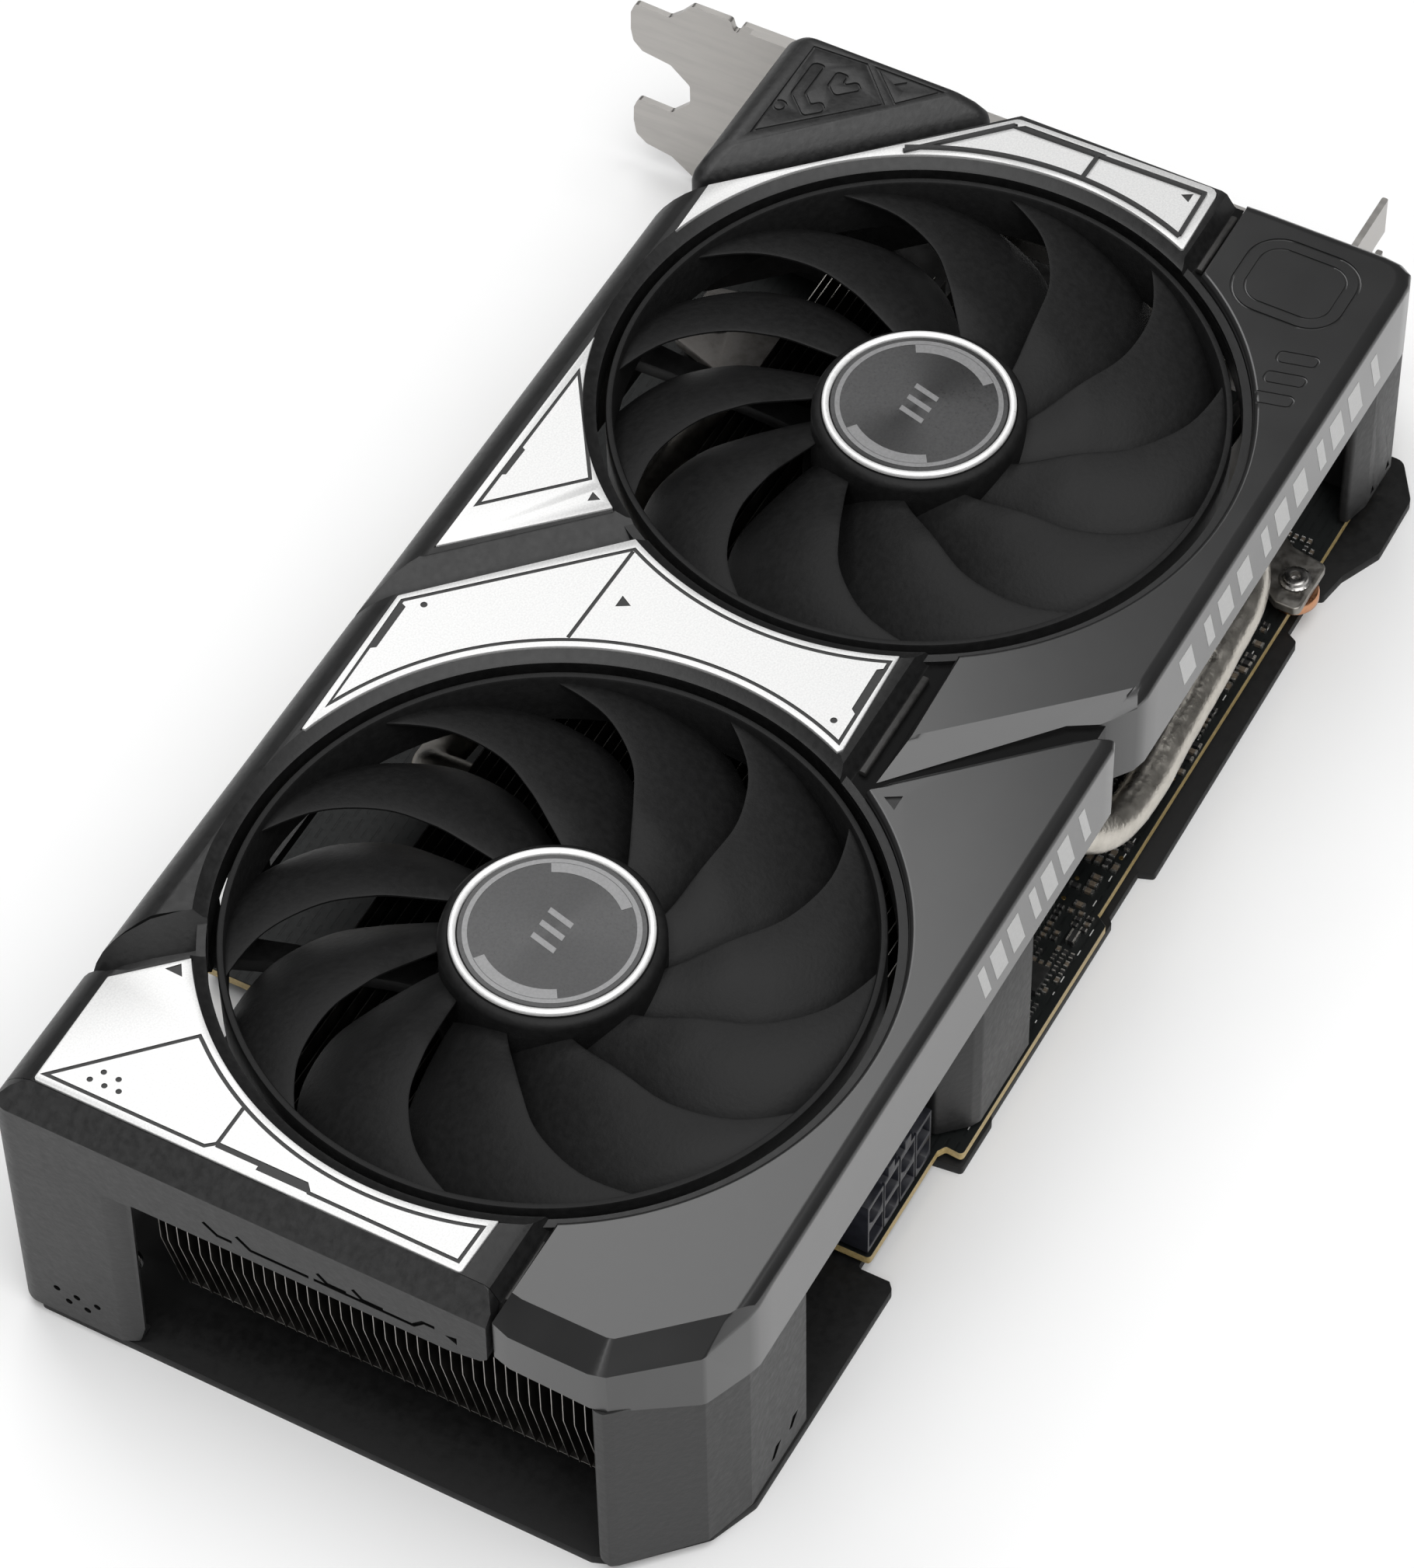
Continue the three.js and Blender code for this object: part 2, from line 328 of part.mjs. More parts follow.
// ---------- exhaust-end frame ----------
{
  let e = box(158.3, X_END, -49.2, 23.5, 2.0, 49.0);
  e = e.subtract(prismX([[-32.5, -5], [36.9, -5], [36.9, 38], [21.6, 38], [16.4, 36.8], [-31.9, 36.6]].reverse(), 150, 170));
  e = e.subtract(prismY([[162, 45.8], [162, 52], [157.8, 52], [159.6, 48.4]], -60, 40));
  // slanted jamb on the slot side of the exhaust window
  e = e.subtract(prismZ([[161.3, -35.6], [162, -35.6], [162, -31], [159.9, -31], [159.9, -32.8]].reverse(), -5, 36.6));
  add('exhaust_frame', e, 'soft');
  let c = prismZ([[X_END, 37.0], [160.2, 39.5], [151.2, 48.4], [143.8, 50.6], [129.0, 50.6], [129.0, 48.8], [143.4, 48.8], [150.0, 46.8], [158.2, 38.6], [158.4, 37.0]], 2.0, 34.6);
  add('corner_leg', c, 'soft');
}
// ---------- side legs ----------
add('middle_leg', box(61.8, 79.2, 42.0, 47.9, PCB_Z1 + GAP, 44.2).add(box(77.4, 82.2, 42.0, 45.6, PCB_Z1 + GAP, 44.2)).add(box(63.0, 78, 43, 50.0, 6, 34.4)), 'soft');
add('bracket_leg', box(-53.8, -49.6, 41.0, 45.2, PCB_Z1 + GAP, 44.2).add(box(-52.4, -51.2, 41, 47.5, 5.2, 34.4)).add(box(-57.8, -55.4, 42, 49.4, 5.2, 34.4)).add(box(-57.8, -43.2, 47.4, 49.4, 5.2, 34.4)), 'soft');

// ---------- place: origin under the middle of the bounding box ----------
group.updateMatrixWorld(true);
const bb = new THREE.Box3();
group.children.forEach(m => { m.geometry.computeBoundingBox(); bb.union(m.geometry.boundingBox); });
const shift = new THREE.Vector3(-(bb.min.x + bb.max.x) / 2, -(bb.min.y + bb.max.y) / 2, -bb.min.z);
group.children.forEach(m => { m.geometry.translate(shift.x, shift.y, shift.z); m.geometry.computeVertexNormals(); m.geometry.computeBoundingBox(); });

export default group;
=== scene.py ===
import bpy, bmesh, math, random
from mathutils import Vector, Matrix


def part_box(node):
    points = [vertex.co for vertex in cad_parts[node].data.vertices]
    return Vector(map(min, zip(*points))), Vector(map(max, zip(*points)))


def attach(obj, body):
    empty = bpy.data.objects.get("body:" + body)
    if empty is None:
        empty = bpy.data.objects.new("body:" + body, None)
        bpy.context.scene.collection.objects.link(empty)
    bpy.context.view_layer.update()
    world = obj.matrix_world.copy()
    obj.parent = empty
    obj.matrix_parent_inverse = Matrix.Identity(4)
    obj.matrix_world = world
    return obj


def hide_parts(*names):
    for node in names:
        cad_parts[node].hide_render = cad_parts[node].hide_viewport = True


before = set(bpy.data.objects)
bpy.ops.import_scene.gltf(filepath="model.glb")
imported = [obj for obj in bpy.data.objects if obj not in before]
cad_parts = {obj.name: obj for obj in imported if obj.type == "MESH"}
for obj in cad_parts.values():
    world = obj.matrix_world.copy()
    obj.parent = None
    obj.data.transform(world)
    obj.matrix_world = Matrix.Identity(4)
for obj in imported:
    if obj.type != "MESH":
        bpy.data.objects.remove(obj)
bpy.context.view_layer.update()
rng = random.Random(7)

# ---- working frame: millimetres, X 0 / Y 0 on the axis of fan A, Z 0 under the backplate ----
_lo, _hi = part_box("shaft_a")
OX, OY = (_lo.x + _hi.x) * 500, (_lo.y + _hi.y) * 500
_lo, _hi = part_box("shaft_b")
XB = (_lo.x + _hi.x) * 500 - OX
FX = (0.0, XB)
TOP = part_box("accent_panel_end")[1].z * 1000
HUB_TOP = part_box("hub_disc_a")[1].z * 1000


def W(p):
    return ((p[0] + OX) / 1000, (p[1] + OY) / 1000, p[2] / 1000)


# ---------------------------------------------------------------- geometry helpers
def arc(cx, cy, r, a0, a1, n):
    return [(cx + r * math.cos(math.radians(a0 + (a1 - a0) * i / n)), cy + r * math.sin(math.radians(a0 + (a1 - a0) * i / n))) for i in range(n + 1)]


def fil(pts, n=5):
    out, N = [], len(pts)
    for i, p in enumerate(pts):
        r = p[2] if len(p) > 2 else 0
        if r <= 0:
            out.append((p[0], p[1])); continue
        a, b, c = Vector(pts[i - 1][:2]), Vector(p[:2]), Vector(pts[(i + 1) % N][:2])
        u, v = (a - b), (c - b)
        lu, lv = u.length, v.length
        u.normalize(); v.normalize()
        ang = u.angle(v)
        d = min(r / math.tan(ang / 2), lu * .49, lv * .49)
        rr = d * math.tan(ang / 2)
        ctr = b + (u + v).normalized() * (rr / math.sin(ang / 2))
        p0, p1 = b + u * d - ctr, b + v * d - ctr
        a0, a1 = math.atan2(p0.y, p0.x), math.atan2(p1.y, p1.x)
        da = (a1 - a0 + math.pi) % (2 * math.pi) - math.pi
        for k in range(n + 1):
            t = a0 + da * k / n
            out.append((ctr.x + rr * math.cos(t), ctr.y + rr * math.sin(t)))
    return out


class Geo:
    def __init__(self):
        self.v, self.f, self.m = [], [], []

    def loft(self, rings, mi=0, closed=False, cap=True):
        n, b = len(rings[0]), len(self.v)
        for r in rings:
            self.v += [tuple(p) for p in r]
        K = len(rings)
        for k in range(K if closed else K - 1):
            k2 = (k + 1) % K
            for i in range(n):
                j = (i + 1) % n
                self.f.append((b + k * n + i, b + k * n + j, b + k2 * n + j, b + k2 * n + i)); self.m.append(mi)
        if cap and not closed:
            self.f.append(tuple(b + i for i in range(n))[::-1]); self.m.append(mi)
            self.f.append(tuple(b + (K - 1) * n + i for i in range(n))); self.m.append(mi)
        return self

    def prism(self, pts, z0, z1, mi=0):
        return self.loft([[(x, y, z0) for x, y in pts], [(x, y, z1) for x, y in pts]], mi)

    def px(self, yz, x0, x1, mi=0):
        return self.loft([[(x0, y, z) for y, z in yz], [(x1, y, z) for y, z in yz]], mi)

    def py(self, xz, y0, y1, mi=0):
        return self.loft([[(x, y0, z) for x, z in xz], [(x, y1, z) for x, z in xz]], mi)

    def box(self, x0, x1, y0, y1, z0, z1, mi=0):
        return self.prism([(x0, y0), (x1, y0), (x1, y1), (x0, y1)], z0, z1, mi)

    def cyl(self, x, y, r, z0, z1, n=48, mi=0):
        return self.prism(arc(x, y, r, 0, 360 - 360 / n, n - 1), z0, z1, mi)

    def lathe(self, prof, x, y, n=128, mi=0):
        return self.loft([[(x + r * math.cos(2 * math.pi * k / n), y + r * math.sin(2 * math.pi * k / n), z) for r, z in prof] for k in range(n)], mi, closed=True)

    def ribbon(self, path, w, z0, z1, closed=False, mi=0):
        P = [Vector(p) for p in path]
        N = len(P)
        L, R = [], []
        for i in range(N):
            a = P[i - 1] if (i or closed) else None
            c = P[(i + 1) % N] if (i < N - 1 or closed) else None
            d1 = (P[i] - a).normalized() if a is not None else (c - P[i]).normalized()
            d2 = (c - P[i]).normalized() if c is not None else d1
            n1, n2 = Vector((-d1.y, d1.x)), Vector((-d2.y, d2.x))
            m = (n1 + n2).normalized()
            s = w / 2 / max(.35, m.dot(n1))
            L.append(P[i] + m * s); R.append(P[i] - m * s)
        rings = [[(L[i].x, L[i].y, z0), (L[i].x, L[i].y, z1), (R[i].x, R[i].y, z1), (R[i].x, R[i].y, z0)] for i in range(N)]
        return self.loft(rings, mi, closed=closed)

    def tube(self, pts, r, n=20, mi=0, wob=0.0, seed=1, flat=1.0):
        rg = random.Random(seed)
        P = [Vector(p) for p in pts]
        rings, up = [], Vector((0, 0, 1))
        ph = [rg.uniform(0, 6.28) for _ in range(8)]
        for i, p in enumerate(P):
            t = (P[min(i + 1, len(P) - 1)] - P[max(i - 1, 0)]).normalized()
            s = t.cross(up)
            if s.length < .05: s = t.cross(Vector((0, 1, 0)))
            s.normalize(); u = s.cross(t).normalized(); up = u
            ring = []
            for k in range(n):
                a = 2 * math.pi * k / n
                rr = r * (1 + wob * (math.sin(3 * a + i * .9 + ph[0]) + math.sin(2 * a - i * .53 + ph[1]) + math.sin(5 * a + i * 1.7 + ph[2]) * .6))
                q = p + s * math.cos(a) * rr + u * math.sin(a) * rr * flat
                ring.append((q.x, q.y, q.z))
            rings.append(ring)
        return self.loft(rings, mi)

    def obj(self, name, mats=()):
        me = bpy.data.meshes.new(name)
        me.from_pydata([W(p) for p in self.v], [], self.f)
        for m in mats: me.materials.append(m)
        me.polygons.foreach_set("material_index", self.m)
        bm = bmesh.new(); bm.from_mesh(me)
        bmesh.ops.remove_doubles(bm, verts=bm.verts, dist=1e-8)
        bmesh.ops.recalc_face_normals(bm, faces=bm.faces)
        bm.to_mesh(me); bm.free()
        o = bpy.data.objects.new(name, me)
        bpy.context.scene.collection.objects.link(o)
        return o


def bake(o):
    bpy.context.view_layer.update()
    dg = bpy.context.evaluated_depsgraph_get()
    me = bpy.data.meshes.new_from_object(o.evaluated_get(dg), preserve_all_data_layers=True, depsgraph=dg)
    o.modifiers.clear()
    old = o.data
    o.data = me
    bpy.data.meshes.remove(old)
    return o


def cut(o, geo, mats=(), op="DIFFERENCE", self_int=True):
    c = geo.obj("tmp_cut", mats)
    m = o.modifiers.new("b", "BOOLEAN")
    m.operation = op; m.object = c; m.solver = "EXACT"; m.use_self = self_int
    m.material_mode = "TRANSFER"
    bake(o)
    bpy.data.objects.remove(c)
    return o


def finish_mesh(o, bev=0.0, seg=2, ang=30, bang=None):
    """Rounds the sharp edges by bev mm and shades smoothly up to ang degrees."""
    if bev > 0:
        m = o.modifiers.new("bev", "BEVEL")
        m.width = bev / 1000; m.segments = seg; m.limit_method = "ANGLE"; m.angle_limit = math.radians(bang or ang)
        m.miter_outer = "MITER_ARC"; m.use_clamp_overlap = True; m.harden_normals = False
        bake(o)
    me = o.data
    me.shade_smooth()
    me.set_sharp_from_angle(angle=math.radians(ang))
    return o


def weighted(o):
    m = o.modifiers.new("wn", "WEIGHTED_NORMAL"); m.keep_sharp = True; m.weight = 80
    bake(o)
    return o


# ---------------------------------------------------------------- materials
def mat(name, c0, c1, rough, metal=0.0, scale=900.0, rvar=.08, bump=.08, bscale=2500.0, bdist=.00005, coat=0.0, aniso=None, spec=.5, detail=6.0, stretch=None, croug=.1):
    m = bpy.data.materials.new(name)
    m.use_nodes = True
    nt = m.node_tree
    b = nt.nodes["Principled BSDF"]
    tc = nt.nodes.new("ShaderNodeTexCoord")
    src = tc.outputs["Object"]
    if stretch:
        mp = nt.nodes.new("ShaderNodeMapping")
        mp.inputs["Scale"].default_value = stretch
        nt.links.new(src, mp.inputs["Vector"]); src = mp.outputs["Vector"]
    n = nt.nodes.new("ShaderNodeTexNoise")
    n.inputs["Scale"].default_value = scale; n.inputs["Detail"].default_value = detail
    nt.links.new(src, n.inputs["Vector"])
    r = nt.nodes.new("ShaderNodeValToRGB")
    r.color_ramp.elements[0].position = .35; r.color_ramp.elements[0].color = (*c0, 1)
    r.color_ramp.elements[1].position = .65; r.color_ramp.elements[1].color = (*c1, 1)
    nt.links.new(n.outputs["Fac"], r.inputs["Fac"])
    nt.links.new(r.outputs["Color"], b.inputs["Base Color"])
    mr = nt.nodes.new("ShaderNodeMapRange")
    mr.inputs["From Min"].default_value = .3; mr.inputs["From Max"].default_value = .7
    mr.inputs["To Min"].default_value = max(.03, rough - rvar); mr.inputs["To Max"].default_value = min(1, rough + rvar)
    nt.links.new(n.outputs["Fac"], mr.inputs["Value"])
    nt.links.new(mr.outputs["Result"], b.inputs["Roughness"])
    b.inputs["Metallic"].default_value = metal
    b.inputs["Specular IOR Level"].default_value = spec
    if coat:
        b.inputs["Coat Weight"].default_value = coat
        b.inputs["Coat Roughness"].default_value = croug
    if bump:
        n2 = nt.nodes.new("ShaderNodeTexNoise")
        n2.inputs["Scale"].default_value = bscale; n2.inputs["Detail"].default_value = 3
        nt.links.new(src, n2.inputs["Vector"])
        bp = nt.nodes.new("ShaderNodeBump")
        bp.inputs["Strength"].default_value = bump; bp.inputs["Distance"].default_value = bdist
        nt.links.new(n2.outputs["Fac"], bp.inputs["Height"])
        nt.links.new(bp.outputs["Normal"], b.inputs["Normal"])
    if aniso:
        b.inputs["Anisotropic"].default_value = aniso
        t = nt.nodes.new("ShaderNodeTangent"); t.direction_type = "RADIAL"; t.axis = "Z"
        nt.links.new(t.outputs["Tangent"], b.inputs["Tangent"])
    return m


g3 = lambda v: (v, v, v * 1.01)
M_SHROUD = mat("shroud_matte", g3(.007), g3(.010), .44, bump=.30, bscale=1500, bdist=.00006, rvar=.05, spec=.42)
M_TEX = mat("textured_black", g3(.012), g3(.019), .48, bump=.60, bscale=1100, bdist=.00009, rvar=.06, spec=.5)
M_GLOSS = mat("gloss_cover", g3(.013), g3(.016), .29, bump=0, coat=.5, croug=.14, rvar=.008, scale=120)
M_BLADE = mat("blade_plastic", g3(.0078), g3(.0105), .52, bump=.50, bscale=1500, bdist=.00008, rvar=.03, spec=.19)
M_PANEL = mat("accent_silver", (.67, .67, .667), (.78, .78, .774), .42, metal=.38, scale=3600, bump=.08, bscale=3800, bdist=.00003, rvar=.03)
M_LINE = mat("panel_line", g3(.016), g3(.03), .5, scale=2000, bump=.1)
M_TRIM = mat("trim_silver", (.90, .90, .895), (.95, .95, .945), .34, metal=.35, scale=1500, bump=.02)
M_DISC = mat("disc_grey", g3(.055), g3(.07), .30, metal=.9, scale=2600, bump=.03, bscale=4000, aniso=.85, rvar=.03)
M_DISCL = mat("disc_mark", g3(.20), g3(.24), .38, metal=.5, scale=2600, bump=.03, bscale=4000, rvar=.03)
M_STEEL = mat("bracket_steel", (.40, .385, .37), (.46, .445, .425), .36, metal=1, scale=700, bump=.05, bscale=1500, stretch=(1, .12, 1), rvar=.06)
M_RAIL = mat("rail_grey", (.022, .0215, .021), (.032, .031, .030), .45, metal=.1, bump=.1, spec=.35)
M_PCBE = mat("board_edge", (.42, .31, .12), (.58, .44, .20), .45, scale=1800, bump=.1)
M_GOLD = mat("contact_gold", (.80, .56, .20), (.92, .68, .30), .25, metal=1, scale=1200, bump=.03)
M_SOLD = mat("solder", (.70, .69, .67), (.86, .85, .83), .30, metal=1, scale=3000, bump=.25, bscale=3500)
M_NICK = mat("nickel", (.55, .52, .465), (.66, .625, .565), .33, metal=1, scale=500, bump=.42, bscale=950, bdist=.00025, rvar=.07)
M_FIN = mat("fins", (.30, .285, .265), (.44, .425, .40), .34, metal=1, scale=350, bump=.10, bscale=260, bdist=.0002, rvar=.08)
# painted shade: darker copy of the fin metal for the fin faces; the fin edges keep the lighter M_FIN
M_FIN_PAINTED_SHADE = mat("fin_painted_shade", (.035, .033, .030), (.06, .056, .051), .42, metal=.9, scale=350, bump=.1)
M_BACK = mat("backplate_black", g3(.0075), g3(.011), .55, metal=.0, bump=.3, bscale=1700, bdist=.00005, spec=.25)
M_CHIP = mat("chip_black", g3(.014), g3(.022), .42, scale=1200, bump=.15, bscale=3000)
M_CLAMP = mat("clamp_nickel", (.30, .285, .26), (.38, .365, .34), .42, metal=1, scale=900, bump=.25, bscale=1500, bdist=.0001)
# painted shade: darker copy of the clamp nickel for the part of the arm that lies in shade
M_CLAMP_PAINTED_SHADE = mat("clamp_painted_shade", (.075, .07, .065), (.11, .105, .10), .5, metal=.6, scale=900, bump=.2, bscale=1500, bdist=.0001, spec=.2)
# painted shade: darker copy of the nickel for the second heat pipe
M_NICK_PAINTED_SHADE = mat("nickel_painted_shade", (.15, .14, .125), (.21, .20, .18), .42, metal=1, scale=500, bump=.3, bscale=950, bdist=.0002, rvar=.05)
# painted shade: near-black, low-shine material laid into recess floors, holes, grooves and notches where shade falls
M_PAINTED_SHADE = mat("painted_shade_black", g3(.002), g3(.004), .62, spec=.12, bump=.1)
M_MARK = mat("side_mark", (.50, .50, .495), (.58, .58, .575), .40, scale=2500, bump=.05)
M_CHOKE = mat("choke_grey", g3(.07), g3(.11), .6, metal=.2, scale=1500, bump=.3)
M_CAN = mat("capacitor_can", g3(.60), g3(.68), .28, metal=1, scale=600, bump=.05, stretch=(1, 1, .1))
M_CERA = mat("ceramic_tan", (.10, .08, .06), (.16, .13, .095), .45, scale=2500, bump=.1)
M_CONN = mat("connector_black", (.012, .013, .018), (.019, .020, .028), .38, scale=900, bump=.12, bscale=2200)
M_SOCK = mat("socket_black", g3(.015), g3(.03), .4, scale=900, bump=.12)
M_SOCKM = mat("socket_metal", (.60, .59, .56), (.70, .69, .66), .28, metal=1, scale=700, bump=.05)
M_COPPER = mat("copper", (.62, .30, .16), (.72, .38, .22), .32, metal=1, scale=800, bump=.1)
M_SCREW = mat("screw_steel", (.36, .35, .34), (.46, .45, .43), .30, metal=1, scale=900, bump=.1)
M_SHAFT = mat("shaft_steel", (.55, .54, .52), (.62, .61, .59), .2, metal=1, scale=900, bump=.03)
M_SILK = mat("board_print", (.50, .50, .49), (.62, .62, .60), .6, scale=2500, bump=.05)


def pcb_material():
    """Solder mask over raised copper traces."""
    m = bpy.data.materials.new("board_black"); m.use_nodes = True
    nt = m.node_tree; b = nt.nodes["Principled BSDF"]
    tc = nt.nodes.new("ShaderNodeTexCoord")
    br = nt.nodes.new("ShaderNodeTexBrick")
    br.inputs["Scale"].default_value = 170; br.inputs["Mortar Size"].default_value = .10
    br.inputs["Color1"].default_value = (.0045, .0055, .0055, 1); br.inputs["Color2"].default_value = (.007, .008, .008, 1)
    br.inputs["Mortar"].default_value = (.0085, .0100, .0098, 1)
    b.inputs["Specular IOR Level"].default_value = .22
    br.offset = .37; br.squash = 1.7
    nt.links.new(tc.outputs["Object"], br.inputs["Vector"])
    nt.links.new(br.outputs["Color"], b.inputs["Base Color"])
    n = nt.nodes.new("ShaderNodeTexNoise"); n.inputs["Scale"].default_value = 1500
    nt.links.new(tc.outputs["Object"], n.inputs["Vector"])
    mr = nt.nodes.new("ShaderNodeMapRange")
    mr.inputs["To Min"].default_value = .40; mr.inputs["To Max"].default_value = .55
    nt.links.new(n.outputs["Fac"], mr.inputs["Value"]); nt.links.new(mr.outputs["Result"], b.inputs["Roughness"])
    bp = nt.nodes.new("ShaderNodeBump"); bp.inputs["Strength"].default_value = .4; bp.inputs["Distance"].default_value = .00004
    nt.links.new(br.outputs["Fac"], bp.inputs["Height"]); nt.links.new(bp.outputs["Normal"], b.inputs["Normal"])
    return m


M_PCB = pcb_material()


def keep(node, m):
    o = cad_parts[node]
    o.data.materials.clear(); o.data.materials.append(m)
    for p in o.data.polygons: p.material_index = 0


def piece(o, body, slot, *nodes):
    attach(o, body)
    if nodes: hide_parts(*nodes)
    return o


# ---------------------------------------------------------------- CAD nodes carried over
for n in ("gpu_package", "memory_chip_1", "memory_chip_2", "memory_chip_3", "memory_chip_4"): keep(n, M_CHIP)
for n in ("choke_1", "choke_2", "choke_3", "choke_4"): keep(n, M_CHOKE)
for n in ("capacitor_1", "capacitor_2", "capacitor_3"): keep(n, M_CAN)
for n in ("shaft_a", "shaft_b"): keep(n, M_SHAFT)
keep("cold_plate", M_NICK)

# ---------------------------------------------------------------- backplate
BP = [(160.6, -48.9, 1), (160.7, 35.7, 1), (159.4, 39.1, 1), (150.4, 48.0, 2), (143.4, 50.8, 2), (105.6, 51.1, .8), (104.6, 50.2), (104.6, 45.4, .6), (84.2, 45.4, .6), (83.6, 50.4, .6),
      (74.6, 50.4, .8), (73.8, 49.9), (36.6, 49.9), (35.8, 49.2), (26.6, 49.2), (25.8, 51.4, .6), (-22.0, 51.0, .6), (-23.0, 49.2), (-31.0, 49.2), (-31.8, 50.8, .6), (-36.5, 51.6, 1),
      (-43.2, 54.6, 1.5), (-54.6, 54.4, 2), (-61.2, 50.2, 2), (-61.2, -46.0, 2), (-57.2, -49.8, 1.5), (158.0, -49.8, 1.5)]
g = Geo().prism(fil(BP, 4), 0, 1.6)
o = g.obj("v_backplate", [M_BACK])
c = Geo()
SCR = [(-50, -44), (-50, 44), (74, -40), (150, -42)]
for x, y in SCR: c.cyl(x, y, 2.3, -1, 3)
c.ribbon([(-40, -44), (40, -44), (70, -14), (70, 20), (96, 44), (140, 44)], 1.2, -1, .35)
c.ribbon([(-40, 44), (30, 44), (52, 22), (52, -8), (20, -38), (-40, -38)], .9, -1, .35)
for k in range(9): c.ribbon([(108 + k * 5, -34), (118 + k * 5, -24), (118 + k * 5, 20)], 2.0, -1, .5)
cut(o, c, [M_BACK])
finish_mesh(o, .22, 2)
piece(o, "card", "backplate_black", "backplate")
for i, (x, y) in enumerate(SCR):
    s = Geo().lathe([(.01, .15), (1.5, .15), (1.9, .5), (1.9, 1.5), (1.0, 1.5), (1.0, 2.3), (.01, 2.3)] if i < 3 else [(.01, .15), (1.5, .15), (1.9, .5), (1.9, 1.5), (.01, 1.5)], x, y, 32)
    o = s.obj("v_backplate_screw_%d" % (i + 1), [M_SCREW])
    cut(o, Geo().box(x - 1.2, x + 1.2, y - .28, y + .28, 0, .75).box(x - .28, x + .28, y - 1.2, y + 1.2, 0, .75), [M_SCREW])
    finish_mesh(o, .06, 2)
    piece(o, "card", "screw_steel", "backplate_screw_%d" % (i + 1))

# ---------------------------------------------------------------- circuit board
PCB = [(-60.0, 48.4, .6), (38.0, 48.4), (39.2, 50.2), (83.2, 50.2, .6), (83.0, 47.6, .5), (84.2, 46.9, .3), (104.1, 46.9, .6), (104.1, -58.0, .6),
       (84.0, -58.0), (84.0, -62.5, .6), (80.5, -62.5, .6), (80.5, -60.0), (76.0, -60.0), (76.0, -58.0), (71.4, -58.0), (71.4, -65.2), (70.4, -66.2),
       (-4.7, -66.2), (-4.7, -58.6, .8), (-6.6, -58.6, .8), (-6.6, -66.2), (-17.0, -66.2), (-18.0, -65.2), (-18.0, -58.0), (-60.0, -58.0, .6)]
g = Geo().prism(fil(PCB, 4), 2.6, 4.2)
o = g.obj("v_circuit_board", [M_PCB, M_PCBE])
for p in o.data.polygons:
    if abs(p.normal.z) < .5: p.material_index = 1
finish_mesh(o, .08, 1)
piece(o, "card", "board_black", "circuit_board")
# contacts on the card-edge tab, pads, and the small parts along the visible edge
g = Geo()
x = 70.2
while x > -17.2:
    if not (-7.6 < x < -3.9):
        g.box(x - .35, x + .35, -65.6, -61.6, 4.19, 4.25, 0).box(x - .35, x + .35, -65.6, -61.6, 2.55, 2.61, 0)
    x -= 1.0
o = g.obj("v_board_contacts", [M_GOLD]); finish_mesh(o)
piece(o, "card", "board_black")


def smd(g, x, y, w, d, h, kind):
    z = 4.2
    if kind == "r":       # resistor or small capacitor with plated ends along X
        e = w * .22
        g.box(x - w / 2 + e, x + w / 2 - e, y - d / 2, y + d / 2, z, z + h, 1 if rng.random() < .5 else 2)
        for s in (-1, 1):
            g.box(x + s * (w / 2 - e / 2) - e / 2, x + s * (w / 2 - e / 2) + e / 2, y - d / 2 - .03, y + d / 2 + .03, z, z + h + .03, 3)
    elif kind == "rt":    # the same, turned
        e = d * .22
        g.box(x - w / 2, x + w / 2, y - d / 2 + e, y + d / 2 - e, z, z + h, 1 if rng.random() < .5 else 2)
        for s in (-1, 1):
            g.box(x - w / 2 - .03, x + w / 2 + .03, y + s * (d / 2 - e / 2) - e / 2, y + s * (d / 2 - e / 2) + e / 2, z, z + h + .03, 3)
    elif kind == "ic":
        g.box(x - w / 2, x + w / 2, y - d / 2, y + d / 2, z + .08, z + h, 1)
        n = max(2, int(w / .8))
        for k in range(n):
            xx = x - w / 2 + (k + .5) * w / n
            for s in (-1, 1):
                g.box(xx - .14, xx + .14, y + s * (d / 2 + .22) - .3, y + s * (d / 2 + .22) + .3, z, z + .3, 3)
    elif kind == "coil":
        g.prism(fil([(x - w / 2, y - d / 2, .5), (x + w / 2, y - d / 2, .5), (x + w / 2, y + d / 2, .5), (x - w / 2, y + d / 2, .5)], 3), z + .1, z + h, 1)
        for s in (-1, 1):
            g.box(x + s * w * .46 - .35, x + s * w * .46 + .35, y - d * .3, y + d * .3, z, z + .25, 3)
    elif kind == "pad":
        g.cyl(x, y, w / 2, z, z + .03, 16, 4)


g = Geo()
taken = []


def place(x, y, w, d, h, kind, gap=.35):
    for (a, b, c_, d_) in taken:
        if abs(x - a) < (w + c_) / 2 + gap and abs(y - b) < (d + d_) / 2 + gap: return False
    taken.append((x, y, w, d)); smd(g, x, y, w, d, h, kind); return True


# keep clear of the clamp, connector, legs and the parts that have CAD nodes of their own
for (x, y, w, d) in [(-27.3, 47.5, 12, 8), (-50, 44, 17, 10), (71, 44, 23, 10), (94.8, 41, 21, 14), (22, -2, 58, 56), (-14, -2, 14, 52), (52, -20, 14, 16), (70, -18, 10, 46), (90, 24, 26, 8), (-56, -20, 18, 82), (-33, -48, 14, 16)]:
    taken.append((x, y, w, d))
for (x, y, w, d, h, k) in [(52.5, 45.4, 4.6, 3.2, 1.3, "ic"), (24.0, 44.6, 3.4, 3.0, 1.0, "ic"), (6.0, 44.0, 5.2, 4.0, 2.0, "coil"), (-10.5, 44.4, 3.0, 3.0, .9, "ic"), (112, 44, 1, 1, 1, "r"), (60.5, 46.6, 2.4, 1.4, 1.1, "r"), (43.5, 47.2, 2.2, 1.3, 1.0, "rt")]:
    if x < 103: place(x, y, w, d, h, k)
